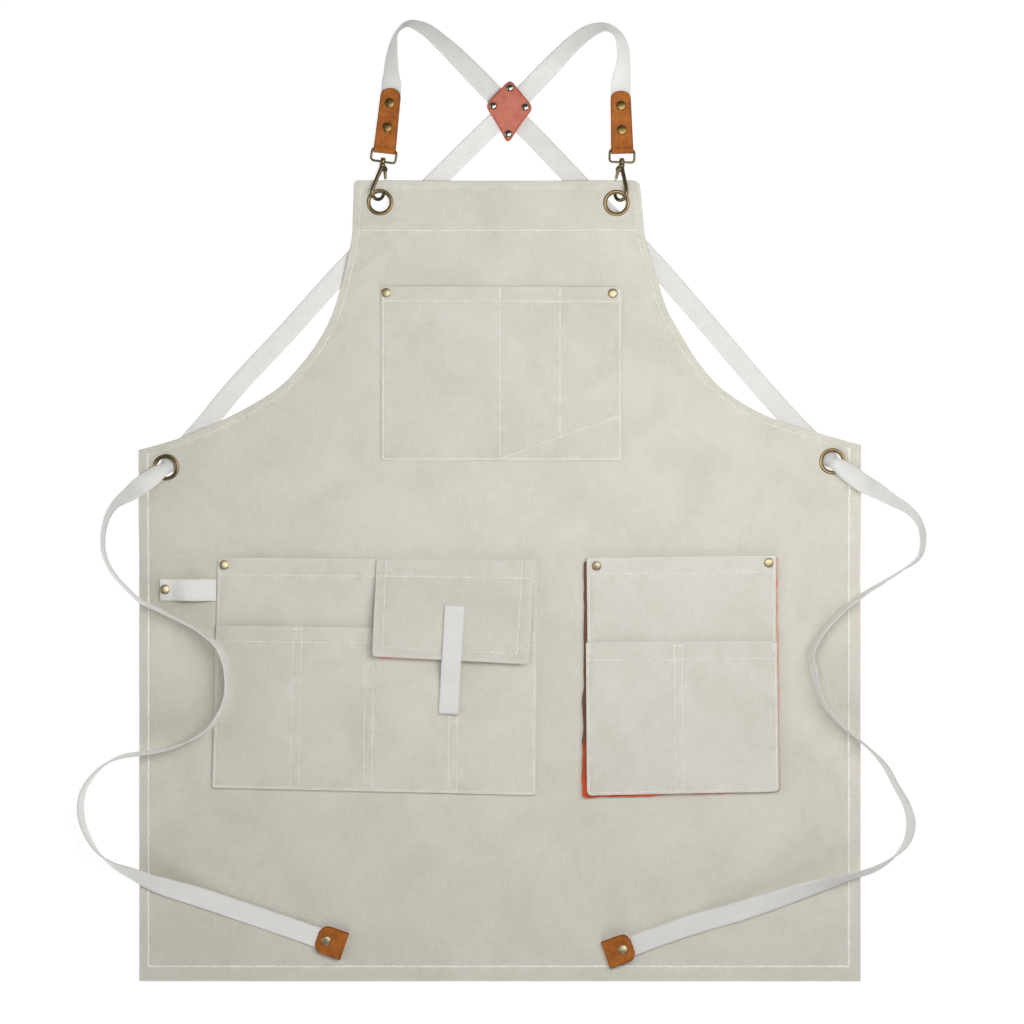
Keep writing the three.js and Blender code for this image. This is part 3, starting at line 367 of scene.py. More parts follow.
def catmull(points, per):
    """Centripetal Catmull-Rom curve through plan points, `per` steps a span."""
    p = np.asarray(points, float)
    p = np.vstack([2 * p[0] - p[1], p, 2 * p[-1] - p[-2]])
    out = []
    for k in range(1, len(p) - 2):
        d0, d1, d2 = (max(np.linalg.norm(p[k + i] - p[k + i - 1]) ** 0.5, 1e-4) for i in (0, 1, 2))
        m1 = ((p[k] - p[k - 1]) / d0 - (p[k + 1] - p[k - 1]) / (d0 + d1) + (p[k + 1] - p[k]) / d1) * d1
        m2 = ((p[k + 1] - p[k]) / d1 - (p[k + 2] - p[k]) / (d1 + d2) + (p[k + 2] - p[k + 1]) / d2) * d1
        c2 = -3 * p[k] + 3 * p[k + 1] - 2 * m1 - m2
        c3 = 2 * p[k] - 2 * p[k + 1] + m1 + m2
        for t in np.arange(per) / per:
            out.append(p[k] + m1 * t + c2 * t * t + c3 * t ** 3)
    out.append(p[-2])
    return np.array(out)


def evenly(line, step):
    """Points along a polyline at about that step, ends kept."""
    line = np.asarray(line, float)
    along = np.concatenate([[0], np.cumsum(np.linalg.norm(np.diff(line, axis=0), axis=1))])
    count = max(2, int(round(along[-1] / step)) + 1)
    at = np.linspace(0, along[-1], count)
    return np.stack([np.interp(at, along, line[:, k]) for k in range(line.shape[1])], axis=1)


# -------------------------------------------------------------- panel's outline
def smooth_run(points, step):
    return evenly(catmull(points, 12), step)


ARM_LEFT = smooth_run([(BIB_LEFT, TOP)] + [(l, d) for d, l, _ in ARMHOLE] + [(LEFT, SHOULDER_LEFT)], 2.6)
ARM_RIGHT = smooth_run([(BIB_RIGHT, TOP), (639.5, 184)] + [(r, d) for d, _, r in ARMHOLE] + [(RIGHT, SHOULDER_RIGHT)], 2.6)
OUTLINE = np.vstack([
    evenly([(LEFT, SHOULDER_LEFT), (LEFT, BOTTOM)], 2.8)[:-1],
    evenly([(LEFT, BOTTOM), (RIGHT, BOTTOM)], 2.8)[:-1],
    evenly([(RIGHT, BOTTOM), (RIGHT, SHOULDER_RIGHT)], 2.8)[:-1],
    ARM_RIGHT[::-1][:-1],
    evenly([(BIB_RIGHT, TOP), (BIB_LEFT, TOP)], 2.8)[:-1],
    ARM_LEFT[:-1],
])


def ease_corner(loop, corner, reach):
    """Rounds one corner of a closed loop."""
    away = np.hypot(*(loop - corner).T)
    near = away < reach
    shift = int(np.argmin(away))
    loop, near = np.roll(loop, -shift, 0), np.roll(near, -shift)
    after, before = int(np.argmin(near)), int(np.argmin(near[::-1]))
    kept = loop[after:len(loop) - before]
    t = np.linspace(0, 1, 7)[1:-1, None]
    arc = (1 - t) ** 2 * kept[-1] + 2 * t * (1 - t) * np.asarray(corner) + t ** 2 * kept[0]
    return np.vstack([kept, arc])


OUTLINE = ease_corner(OUTLINE, (BIB_LEFT, TOP), 5.0)
OUTLINE = ease_corner(OUTLINE, (BIB_RIGHT, TOP), 4.0)


def inset(line, amount):
    """The line moved sideways, to the left of its direction for amount > 0."""
    step = np.gradient(line, axis=0)
    step /= np.linalg.norm(step, axis=1)[:, None]
    return line + amount * np.stack([step[:, 1], -step[:, 0]], axis=1)


SEAM_ARM_LEFT = inset(ARM_LEFT, HEM["armhole"])[3:-3]
SEAM_ARM_RIGHT = inset(ARM_RIGHT, -HEM["armhole"])[3:-3]
BODY_SEAMS = {
    "left": [(LEFT + HEM["left"], SHOULDER_LEFT + 3), (LEFT + HEM["left"], BOTTOM - HEM["bottom"])],
    "bottom": [(LEFT + HEM["left"], BOTTOM - HEM["bottom"]), (RIGHT - HEM["right"], BOTTOM - HEM["bottom"])],
    "right": [(RIGHT - HEM["right"], SHOULDER_RIGHT + 3), (RIGHT - HEM["right"], BOTTOM - HEM["bottom"])],
    "top": [(BIB_LEFT + 4, TOP + HEM["top"]), (BIB_RIGHT - 1, TOP + HEM["top"])],
    "facing": [(361.5, FACING), (500, FACING - 0.6), (638, FACING - 0.4)],
    "arm_left": SEAM_ARM_LEFT,
    "arm_right": SEAM_ARM_RIGHT,
}


# --------------------------------------------------------------- height fields
def quiet(a, d):
    """1 away from the fittings, 0 next to them."""
    out = np.ones(np.shape(a))
    for ga, gd in GROMMETS.values():
        out = out * (1 - fade(np.hypot(a - ga, d - gd), 13, 34))
    return out


def lift(a, d):
    """The slack of the cloth: low swells and soft creases."""
    a, d = np.asarray(a, float), np.asarray(d, float)
    swell = 0.5 + 0.3 * wander(a, d, 92, 3) + 0.24 * wander(a + 0.4 * d, d, 47, 7) + 0.12 * wander(a, d, 23, 11)
    out = 2.0 * np.clip(swell, 0, 1.2)
    for a0, d0, a1, d1, half, high in CREASES:
        ua, ud = a1 - a0, d1 - d0
        long = math.hypot(ua, ud)
        t = ((a - a0) * ua + (d - d0) * ud) / long ** 2
        off = ((a - a0) * ud - (d - d0) * ua) / long + 3 * wander(a, d, 34, 17)
        ends = fade(np.abs(t - 0.5), 0.12, 0.62)
        out = out + 1.45 * high * ends * np.exp(-(off / half) ** 2)
    return out * quiet(a, d)


def body_under(a, d):
    total = (BIB_RIDE[0] * fade(d, BIB_RIDE[1], BIB_RIDE[2])) ** 4
    for across, down, rise, near, far in LIFTS:
        total = total + (rise * fade(np.hypot(a - across, d - down), near, far)) ** 4
    return total ** 0.25


def body_low(a, d):
    return body_under(a, d) + lift(a, d)


def body_top(a, d):
    return body_low(a, d) + CANVAS


def arch(rooms, a):
    out = np.zeros(np.shape(a))
    for left, right, rise in rooms:
        u = np.clip((np.asarray(a, float) - left) / (right - left), 0, 1)
        out = out + SLACK * rise * (1 - np.abs(2 * u - 1) ** 2.2)
    return out


def sag(d, mouth, foot):
    return 1 - np.clip((d - mouth) / (foot - mouth), 0, 1) ** 3


def laid(piece):
    left, right, top, bottom = piece["rect"]
    tl, tr, br, bl = (np.array(c, float) for c in piece["corners"])

    def place(a, d):
        u = (np.asarray(a, float) - left) / (right - left)
        v = (np.asarray(d, float) - top) / (bottom - top)
        return tuple(
            (1 - v) * ((1 - u) * tl[k] + u * tr[k]) + v * ((1 - u) * bl[k] + u * br[k]) for k in (0, 1))

    return place


def bib_pocket_under(a, d):
    slant = SLANT[0][1] + (a - SLANT[0][0]) / (SLANT[1][0] - SLANT[0][0]) * (SLANT[1][1] - SLANT[0][1])
    foot = np.where(a > SLANT[0][0], slant, BIB_POCKET["rect"][3])
    return body_top(a, d) + GAP + arch(BIB_ROOMS, a) * sag(d, 286, foot)


def tool_back_under(a, d):
    return lift(a, d) + CANVAS + GAP + arch(BACK_ROOM, a) * fade(d, 557, 621)


def tool_front_under(a, d):
    return lift(a, d) + 2 * CANVAS + 2 * GAP + arch(TOOL_ROOMS, a) * sag(d, TOOL_MOUTH, 794)


def flap_lining_under(a, d):
    return lift(a, d) + smooth_between(FLAP_ROWS, d)


def flap_under(a, d):
    return flap_lining_under(a, d) + LINING + 3 * GAP


def pouch_lining_under(a, d):
    return lift(a, d) + CANVAS + 1.8 + 1.1 * fade(np.hypot(a - 584, d - 800), 0, 150)


def pouch_under(a, d):
    return pouch_lining_under(a, d) + LINING + GAP


def pouch_pocket_under(a, d):
    return pouch_under(a, d) + CANVAS + GAP + arch(POUCH_ROOMS, a) * sag(d, POUCH_MOUTH, 794)


def bed(a, d):
    """Top of what a tie or tab lies on."""
    a, d = np.asarray(a, float), np.asarray(d, float)
    top = np.where((a > LEFT - 9) & (a < RIGHT + 9) & (d > SHOULDER_RIGHT), body_top(a, d), 0.0)
    hem = ((a < LEFT + 10) | (a > RIGHT - 9)) & (a > LEFT - 9) & (a < RIGHT + 9) & (d > SHOULDER_RIGHT)
    top = np.where(hem, top + 0.8, top)
    tool = (a > 208) & (a < 540) & (d > 622) & (d < 799)
    for shift in (0, 3, 6):
        top = np.where(tool, np.maximum(top, tool_front_under(a + shift, d) + CANVAS + 0.5), top)
    flap = (a > 370) & (a < 537) & (d > 557) & (d < 664)
    return np.where(flap, flap_under(a, d) + CANVAS + 0.3, top)


# ---------------------------------------------------------------------- meshes
def build(name, points, faces, look, uv=None, values=None, sharp=None):
    """A mesh object from points in sheet millimetres (across, down, height)."""
    points = np.asarray(points, float)
    place = np.stack([points[:, 0] - ORIGIN[0], ORIGIN[1] - points[:, 1], points[:, 2]], axis=1) / 1000
    return build_here(name, place, [f[:, ::-1] for f in faces], look, uv, values, sharp)


def build_here(name, place, faces, look, uv=None, values=None, sharp=None):
    """A mesh object from points in metres."""
    mesh = bpy.data.meshes.new(name)
    corners = np.concatenate([np.asarray(f, np.int32).ravel() for f in faces if len(f)])
    sizes = np.concatenate([np.full(len(f), np.shape(f)[1], np.int32) for f in faces if len(f)])
    mesh.vertices.add(len(place))
    mesh.vertices.foreach_set("co", np.asarray(place, np.float32).ravel())
    mesh.loops.add(len(corners))
    mesh.loops.foreach_set("vertex_index", corners)
    mesh.polygons.add(len(sizes))
    mesh.polygons.foreach_set("loop_start", np.concatenate([[0], np.cumsum(sizes)[:-1]]).astype(np.int32))
    mesh.update(calc_edges=True)
    mesh.polygons.foreach_set("use_smooth", np.ones(len(sizes), bool))
    if uv is not None:
        layer = mesh.uv_layers.new(name="UVMap")
        layer.data.foreach_set("uv", np.asarray(uv, np.float32)[corners].ravel())
    for key, value in (values or {}).items():
        mesh.attributes.new(key, "FLOAT", "POINT").data.foreach_set("value", np.asarray(value, np.float32))
    mesh.validate()
    if sharp:
        mesh.set_sharp_from_angle(angle=math.radians(sharp))
    mesh.update()
    mesh.materials.append(look)
    thing = bpy.data.objects.new(name, mesh)
    bpy.context.scene.collection.objects.link(thing)
    return thing


def show(thing, slot, *nodes, body="apron"):
    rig.ride(thing, body)
    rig.slot(thing, slot)
    if nodes:
        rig.replaces(thing, *nodes)
    return thing


class Batch:
    """Many small shapes joined into one mesh."""

    def __init__(self):
        self.points, self.faces, self.count = [], {3: [], 4: []}, 0

    def add(self, points, *faces):
        for f in faces:
            if len(f):
                self.faces[np.shape(f)[1]].append(np.asarray(f) + self.count)
        self.points.append(np.asarray(points, float))
        self.count += len(points)

    def arrays(self):
        return np.concatenate(self.points), [np.concatenate(f) for f in self.faces.values() if f]


def grid_faces(rows, columns, start=0, wrap=False):
    """Quads of a rows x columns grid of points; wrap joins the last column to the first."""
    j = np.arange(rows - 1)[:, None]
    i = np.arange(columns if wrap else columns - 1)[None, :]
    n = (i + 1) % columns
    return np.stack([j * columns + i, j * columns + n, (j + 1) * columns + n, (j + 1) * columns + i],
                    axis=-1).reshape(-1, 4) + start


def lathe(profile, sides):
    """Points and faces of a turned shape about z; profile is (radius, height), open or on the axis at its ends."""
    profile = np.asarray(profile, float)
    turn = np.arange(sides) * 2 * math.pi / sides
    first, last = profile[0, 0] < 1e-9, profile[-1, 0] < 1e-9
    ring = profile[1 if first else 0: len(profile) - 1 if last else None]
    points = np.stack([
        (ring[:, 0, None] * np.cos(turn)).ravel(), (ring[:, 0, None] * np.sin(turn)).ravel(),
        np.repeat(ring[:, 1], sides)], axis=1)
    quads = grid_faces(len(ring), sides, wrap=True)
    fans = []
    i = np.arange(sides)
    n = (i + 1) % sides
    if first:
        fans.append(np.stack([np.full(sides, len(points)), n, i], axis=1))
        points = np.vstack([points, [0, 0, profile[0, 1]]])
    if last:
        base = (len(ring) - 1) * sides
        fans.append(np.stack([np.full(sides, len(points)), base + i, base + n], axis=1))
        points = np.vstack([points, [0, 0, profile[-1, 1]]])
    return points, quads, (np.concatenate(fans) if fans else np.zeros((0, 3), int))


def tube(path, radius, sides=14, closed=False, up=(0, 0, 1), squash=1.0):
    """A round bar along a path that lies nearly in the plane across `up`."""
    path = np.asarray(path, float)
    count = len(path)
    radius = np.broadcast_to(radius, (count,))
    step = (np.roll(path, -1, 0) - np.roll(path, 1, 0)) if closed else np.gradient(path, axis=0)
    step /= np.linalg.norm(step, axis=1)[:, None]
    side = np.cross(step, up)
    side /= np.linalg.norm(side, axis=1)[:, None]
    over = np.cross(side, step)
    turn = np.arange(sides) * 2 * math.pi / sides
    points = (path[:, None] + radius[:, None, None] * (
        np.cos(turn)[None, :, None] * side[:, None] + squash * np.sin(turn)[None, :, None] * over[:, None])).reshape(-1, 3)
    quads = grid_faces(count, sides, wrap=True)
    i = np.arange(sides)
    n = (i + 1) % sides
    if closed:
        last = (count - 1) * sides
        return points, np.vstack([quads, np.stack([last + i, last + n, n, i], axis=1)]), np.zeros((0, 3), int)
    caps = []
    for end, sign in ((0, -1), (count - 1, 1)):
        points = np.vstack([points, path[end] + sign * step[end] * radius[end] * 0.35])
        tip = np.full(sides, len(points) - 1)
        ring = end * sides
        caps.append(np.stack([tip, ring + n, ring + i] if sign < 0 else [tip, ring + i, ring + n], axis=1))
    return points, quads, np.concatenate(caps)


# ------------------------------------------------------------------- materials
def rgb(r, g, b):
    """Linear colour of an sRGB one."""
    out = []
    for c in (r, g, b):
        c /= 255
        out.append(c / 12.92 if c <= 0.04045 else ((c + 0.055) / 1.055) ** 2.4)
    return (*out, 1.0)


class Look:
    """A material with a Principled shader and a few short ways to add nodes."""

    def __init__(self, name, roughness=0.8, metallic=0.0, specular=0.3):
        self.material = bpy.data.materials.new(name)
        self.material.use_nodes = True
        self.tree = self.material.node_tree
        self.shader = next(n for n in self.tree.nodes if n.type == "BSDF_PRINCIPLED")
        self.shader.inputs["Roughness"].default_value = roughness
        self.shader.inputs["Metallic"].default_value = metallic
        self.shader.inputs["Specular IOR Level"].default_value = specular

    def node(self, kind, **inputs):
        n = self.tree.nodes.new(kind)
        for key, value in inputs.items():
            self.put(n.inputs[key.replace("_", " ")], value)
        return n

    def put(self, socket, value):
        if isinstance(value, bpy.types.NodeSocket):
            self.tree.links.new(value, socket)
        else:
            socket.default_value = value

    def math(self, operation, *values):
        n = self.tree.nodes.new("ShaderNodeMath")
        n.operation = operation
        for socket, value in zip(n.inputs, values):
            self.put(socket, value)
        return n.outputs[0]

    def place(self, shift=(0, 0, 0), scale=(1, 1, 1), turn=0.0, source="Object"):
        co = self.tree.nodes.new("ShaderNodeTexCoord").outputs[source]
        n = self.tree.nodes.new("ShaderNodeMapping")
        self.put(n.inputs["Vector"], co)
        n.inputs["Location"].default_value = shift
        n.inputs["Rotation"].default_value = (0, 0, turn)
        n.inputs["Scale"].default_value = scale
        return n.outputs[0]

    def noise(self, place, scale, detail=3.0, rough=0.55, distortion=0.0):
        return self.node("ShaderNodeTexNoise", Vector=place, Scale=scale, Detail=detail,
                         Roughness=rough, Distortion=distortion).outputs[0]

    def axes(self, place):
        n = self.node("ShaderNodeSeparateXYZ", Vector=place)
        return n.outputs[0], n.outputs[1]

    def sine(self, value, pitch, phase=0.0):
        return self.math("SINE", self.math("MULTIPLY_ADD", value, 2 * math.pi / pitch, phase))

    def value(self, name):
        n = self.tree.nodes.new("ShaderNodeAttribute")
        n.attribute_name = name
        return n.outputs["Fac"]

    def ramp(self, factor, stops):
        n = self.tree.nodes.new("ShaderNodeValToRGB")
        self.put(n.inputs[0], factor)
        items = n.color_ramp.elements
        while len(items) < len(stops):
            items.new(0.5)
        for item, (at, colour) in zip(items, stops):
            item.position = at
            item.color = colour
        return n.outputs[0]

    def span(self, value, low, high, to_low, to_high):
        n = self.node("ShaderNodeMapRange", Value=value)
        for key, x in (("From Min", low), ("From Max", high), ("To Min", to_low), ("To Max", to_high)):
            n.inputs[key].default_value = x
        return n.outputs[0]

    def bump(self, height, distance, strength=1.0, under=None):
        n = self.node("ShaderNodeBump", Strength=strength, Distance=distance, Height=height)
        if under is not None:
            self.put(n.inputs["Normal"], under)
        return n.outputs[0]

    def finish(self, colour=None, roughness=None, normal=None):
        for key, value in (("Base Color", colour), ("Roughness", roughness), ("Normal", normal)):
            if value is not None:
                self.put(self.shader.inputs[key], value)
        return self.material


def scaled(colour, k):
    return (colour[0] * k, colour[1] * k, colour[2] * k, 1.0)


def canvas(name, colour, shift):
    """Washed plain-weave cotton: slubs along both threads, cloudy wash, paler rubbed seams."""
    look = Look(name, roughness=0.92, specular=0.18)
    here = look.place(shift)
    cloud = look.noise(here, 15, 5, 0.62, 0.6)
    speck = look.noise(here, 260, 3, 0.6)
    weft = look.noise(look.place(shift, (55, 1050, 1)), 1, 2, 0.5)
    warp = look.noise(look.place(shift, (1050, 45, 1)), 1, 2, 0.5)
    x, y = look.axes(here)
    weave = look.math("MULTIPLY", look.sine(x, 0.00125), look.sine(y, 0.00125))
    tone = look.math("MULTIPLY_ADD", cloud, 0.84, -0.42)
    for part, k in ((speck, 0.3), (weft, 0.38), (warp, 0.32)):
        tone = look.math("ADD", tone, look.math("MULTIPLY_ADD", part, k, -k / 2))
    tone = look.math("ADD", tone, look.math("MULTIPLY_ADD", look.value("wear"), 0.9, -0.45))
    tone = look.math("ADD", tone, look.math("MULTIPLY_ADD", weave, 0.06, 0.5))
    warm = (colour[0] * 0.865, colour[1] * 0.855, colour[2] * 0.82, 1)
    pale = (colour[0] * 1.12, colour[1] * 1.125, colour[2] * 1.16, 1)
    shade = look.ramp(tone, [(0.12, warm), (0.5, colour), (0.9, pale)])
    uneven = look.math("ADD", look.math("MULTIPLY", weft, 0.5), look.math("MULTIPLY", warp, 0.5))
    normal = look.bump(look.math("MULTIPLY_ADD", weave, 0.5, 0.5), 0.0002, 0.75)
    normal = look.bump(look.math("MULTIPLY_ADD", speck, 0.35, uneven), 0.0005, 0.6, normal)
    look.shader.inputs["Sheen Weight"].default_value = 0.12
    look.shader.inputs["Sheen Roughness"].default_value = 0.6
    return look.finish(shade, look.span(speck, 0.3, 0.7, 0.86, 0.97), normal)


def webbing(name, colour):
    """Cotton tape: ribs along its length crossed by the weft, with firmer selvedges."""
    look = Look(name, roughness=0.88, specular=0.2)
    here = look.place(source="UV")
    u, v = look.axes(here)
    rib = look.sine(u, 0.00185)
    pick = look.sine(v, 0.0024)
    weave = look.math("MULTIPLY", rib, pick)
    cloud = look.noise(here, 55, 3, 0.6)
    slub = look.noise(look.place((0.3, 0.1, 0), (800, 60, 1), source="UV"), 1, 2)
    tone = look.math("ADD", look.math("MULTIPLY_ADD", cloud, 0.35, -0.175), look.math("MULTIPLY_ADD", slub, 0.36, -0.18))
    tone = look.math("ADD", tone, look.math("MULTIPLY_ADD", weave, 0.1, 0.5))
    tone = look.math("ADD", tone, look.math("MULTIPLY", look.value("edge"), -0.16))
    shade = look.ramp(tone, [(0.15, scaled(colour, 0.84)), (0.5, colour), (0.88, scaled(colour, 1.1))])
    normal = look.bump(look.math("MULTIPLY_ADD", weave, 0.5, 0.5), 0.00013, 0.65)
    normal = look.bump(look.math("MULTIPLY_ADD", rib, 0.5, look.math("MULTIPLY", slub, 0.6)), 0.00014, 0.5, normal)
    look.shader.inputs["Sheen Weight"].default_value = 0.1
    return look.finish(shade, look.span(slub, 0.3, 0.7, 0.82, 0.94), normal)


def hide(name, colour, dark, pale, roughness):
    """Leather: pebbled grain, cloudy dye, dark burnished edges."""
    look = Look(name, roughness=roughness, specular=0.17)
    here = look.place()
    grain = look.node("ShaderNodeTexVoronoi", Vector=here, Scale=900.0).outputs[0]
    cloud = look.noise(here, 95, 4, 0.6, 0.4)
    pore = look.noise(here, 1500, 2)
    streak = look.noise(look.place((0.1, 0.2, 0), (700, 90, 300)), 1, 3)
    tone = look.math("ADD", look.math("MULTIPLY_ADD", cloud, 0.75, -0.375), look.math("MULTIPLY_ADD", grain, -0.18, 0.56))
    tone = look.math("ADD", tone, look.math("MULTIPLY_ADD", streak, 0.4, -0.2))
    tone = look.math("SUBTRACT", tone, look.math("MULTIPLY", look.value("edge"), 0.26))
    shade = look.ramp(tone, [(0.05, dark), (0.5, colour), (0.85, pale)])
    normal = look.bump(grain, 0.00022, 0.55)
    normal = look.bump(look.math("ADD", pore, cloud), 0.00025, 0.35, normal)
    return look.finish(shade, look.span(cloud, 0.3, 0.7, roughness - 0.1, roughness + 0.12), normal)


def metal(name, bright, dark, roughness, old):
    """Plated metal: worn bright on the proud parts, dark in the hollows; on the hook's pieces the same value is painted
    shade on their lower sides.
    """
    look = Look(name, roughness=roughness, metallic=1.0, specular=0.5)
    here = look.place()
    blotch = look.noise(here, 420, 4, 0.6, 0.3)
    fine = look.noise(here, 2600, 2)
    tone = look.math("SUBTRACT", look.math("MULTIPLY_ADD", blotch, old, 0.85 - old / 2), look.math("MULTIPLY", look.value("hollow"), 0.8))
    shade = look.ramp(tone, [(0.15, dark), (0.8, bright)])
    rough = look.math("MULTIPLY_ADD", blotch, -0.22, roughness + 0.11)
    return look.finish(shade, rough, look.bump(look.math("MULTIPLY_ADD", fine, 0.5, blotch), 0.00006, 0.5))


def thread(name, colour):
    look = Look(name, roughness=0.7, specular=0.3)
    here = look.place()
    twist = look.sine(look.math("ADD", *look.axes(here)), 0.0006)
    cloud = look.noise(here, 120, 2)
    tone = look.math("MULTIPLY_ADD", twist, 0.2, cloud)
    shade = look.ramp(tone, [(0.2, scaled(colour, 0.86)), (0.7, colour)])
    return look.finish(shade, None, look.bump(twist, 0.0001, 0.5))


def nylon(name, colour):
    """Coated lining: fine weave, cloudy; tint paints shade on it in brown (1) and turns it pale (-1)."""
    look = Look(name, roughness=0.6, specular=0.3)
    here = look.place()
    x, y = look.axes(here)
    weave = look.math("MULTIPLY", look.sine(x, 0.0007), look.sine(y, 0.0007))
    cloud = look.noise(here, 60, 3)
    tone = look.math("SUBTRACT", look.math("MULTIPLY_ADD", weave, 0.08, cloud), look.math("MULTIPLY", look.value("tint"), 0.6))
    # the darkest stop is the brown of the painted shade, the palest is the tint's pale end
    shade = look.ramp(tone, [(0.06, rgb(112, 74, 54)), (0.28, scaled(colour, 0.7)), (0.5, colour), (0.72, scaled(colour, 1.15)), (1.0, rgb(224, 172, 148))])
    normal = look.bump(look.math("MULTIPLY_ADD", weave, 0.3, cloud), 0.0004, 0.6)
    return look.finish(shade, look.span(cloud, 0.3, 0.7, 0.5, 0.7), normal)


BODY_CLOTH = canvas("canvas_body", rgb(213, 209, 197), (0, 0, 0))
# a slightly darker copy of the body canvas: painted shade that evens out the lamps' extra light on the bib
BIB_CLOTH_PAINTED_SHADE = canvas("canvas_bib_pocket", rgb(211, 207, 196), (0.37, 0.11, 0))
# a slightly lighter copy of the body canvas: painted light that lifts the tool pocket out of the shade it renders in
TOOL_CLOTH_PAINTED_LIGHT = canvas("canvas_tool_pocket", rgb(214, 210, 198), (0.13, 0.52, 0))
FLAP_CLOTH = canvas("canvas_flap", rgb(210, 206, 195), (0.71, 0.29, 0))
POUCH_CLOTH = canvas("canvas_pouch", rgb(213, 210, 200), (0.23, 0.83, 0))
TAPE = webbing("cotton_webbing", rgb(223, 222, 218))
# a lighter copy of the same webbing: painted light on the right strap, whose far end makes the left tie's loops on edge
RIGHT_TAPE_PAINTED_LIGHT = webbing("cotton_webbing_right", rgb(234, 233, 229))
# a lighter copy of the same webbing: painted light on the tool loop
LOOP_TAPE_PAINTED_LIGHT = webbing("cotton_webbing_loop", rgb(238, 237, 232))
BROWN = hide("brown_leather", rgb(171, 99, 37), rgb(92, 47, 17), rgb(192, 124, 62), 0.55)
SALMON = hide("salmon_leather", rgb(200, 118, 98), rgb(162, 71, 51), rgb(213, 139, 118), 0.5)
BRASS = metal("antique_brass", rgb(142, 123, 90), rgb(44, 36, 24), 0.32, 0.7)
DARK_BRASS = metal("dark_brass", rgb(120, 107, 82), rgb(28, 25, 20), 0.3, 0.8)
# a paler copy of the antique brass: painted light, so the pocket and tie rivets show bright highlights
BRASS_PAINTED_BRIGHT = metal("pale_brass", rgb(176, 162, 130), rgb(88, 76, 54), 0.42, 0.5)
DULL_BRASS = metal("dull_brass", rgb(132, 109, 68), rgb(52, 40, 22), 0.34, 0.65)
NICKEL = metal("dark_nickel", rgb(150, 146, 134), rgb(44, 42, 37), 0.16, 0.5)
YARN = thread("sewing_thread", rgb(249, 247, 240))
HEM_YARN = thread("hem_thread", rgb(253, 251, 246))
ORANGE = nylon("orange_lining", rgb(231, 84, 34))


# --------------------------------------------------------------------- webbing
def spread_of_section(cuts):
    q = np.concatenate([[-1, -0.975, -0.92], np.linspace(-0.78, 0.78, cuts), [0.92, 0.975, 1]])
    return q, 0.5 * WEB_THICK * (1 - 0.72 * np.abs(q) ** 22 - 0.08 * np.cos(q * math.pi * 2))


def section(heading, slope, roll, curl, q):
    """Middle line of a strap's cross-section as offsets, and the outward side of each point."""
    along = np.array([heading[0], heading[1], slope])
    along = along / np.linalg.norm(along)
    right = np.array([heading[1], -heading[0], 0]) / np.hypot(heading[0], heading[1])
    up = np.cross(right, along)
    wide = right * math.cos(math.radians(roll)) + up * math.sin(math.radians(roll))
    face = np.cross(wide, along)
    bend = math.radians(max(curl, 0.01))
    radius = WEB_WIDTH / bend
    angle = bend * q / 2
    middle = np.outer(radius * np.sin(angle), wide) - np.outer(radius * (1 - np.cos(angle)), face)
    out = np.outer(np.cos(angle), face) + np.outer(np.sin(angle), wide)
    return middle, out


def rest(point, heading, roll, curl):
    """Lowest height of a strap's middle that keeps this cross-section above its bed."""
    q = np.linspace(-1, 1, 5)
    middle, out = section(heading, 0, roll, curl, q)
    edge = np.concatenate([middle + out * WEB_THICK / 2, middle - out * WEB_THICK / 2])
    a = point[0] + edge[:, 0] + ORIGIN[0]
    d = ORIGIN[1] - point[1] - edge[:, 1]
    return float(max(0, np.max(bed(a, d) + GAP - edge[:, 2])))


def cubic(p, q, r, s, t):
    return 0.5 * (2 * q + (r - p) * t + (2 * p - 5 * q + 4 * r - s) * t * t + (3 * q - p - 3 * r + s) * t ** 3)


def ribbon(rows, per):
    """Stations of a strap: middle points (x, y, z), headings, rolls and curls."""
    plan = catmull([(a - ORIGIN[0], ORIGIN[1] - d) for a, d, *_ in rows], per)
    headings = np.gradient(plan, axis=0)
    headings /= np.linalg.norm(headings, axis=1)[:, None]
    last = len(rows) - 1
    total = last * per
    heights = [h if h is not None else rest(plan[k * per], headings[k * per], roll, curl)
               for k, (_, _, roll, curl, h) in enumerate(rows)]
    found = []
    for n in range(total + 1):
        k = min(last - 1, n // per)
        t = n / per - k
        pick = lambda values: cubic(values[max(0, k - 1)], values[k], values[k + 1], values[min(last, k + 2)], t)
        roll = pick([r[2] for r in rows])
        curl = max(0, pick([r[3] for r in rows]))
        high = pick(heights)
        lies = rows[k][4] is None or rows[k + 1][4] is None
        short = max(0, rest(plan[n], headings[n], roll, curl) - high) if lies else 0.0
        found.append((roll, curl, high, short))
    roll, curl, high, short = (np.array(x) for x in zip(*found))
    near = lambda values, pick: np.array([pick(values[max(0, n - per): n + per + 1]) for n in range(total + 1)])
    eased = near(near(short, np.max), np.mean)
    free = np.array([rows[min(last, n // per)][4] is None for n in range(total + 1)])
    z = high + np.where(free, np.maximum(eased, short), short)
    return np.column_stack([plan, z]), headings, roll, curl


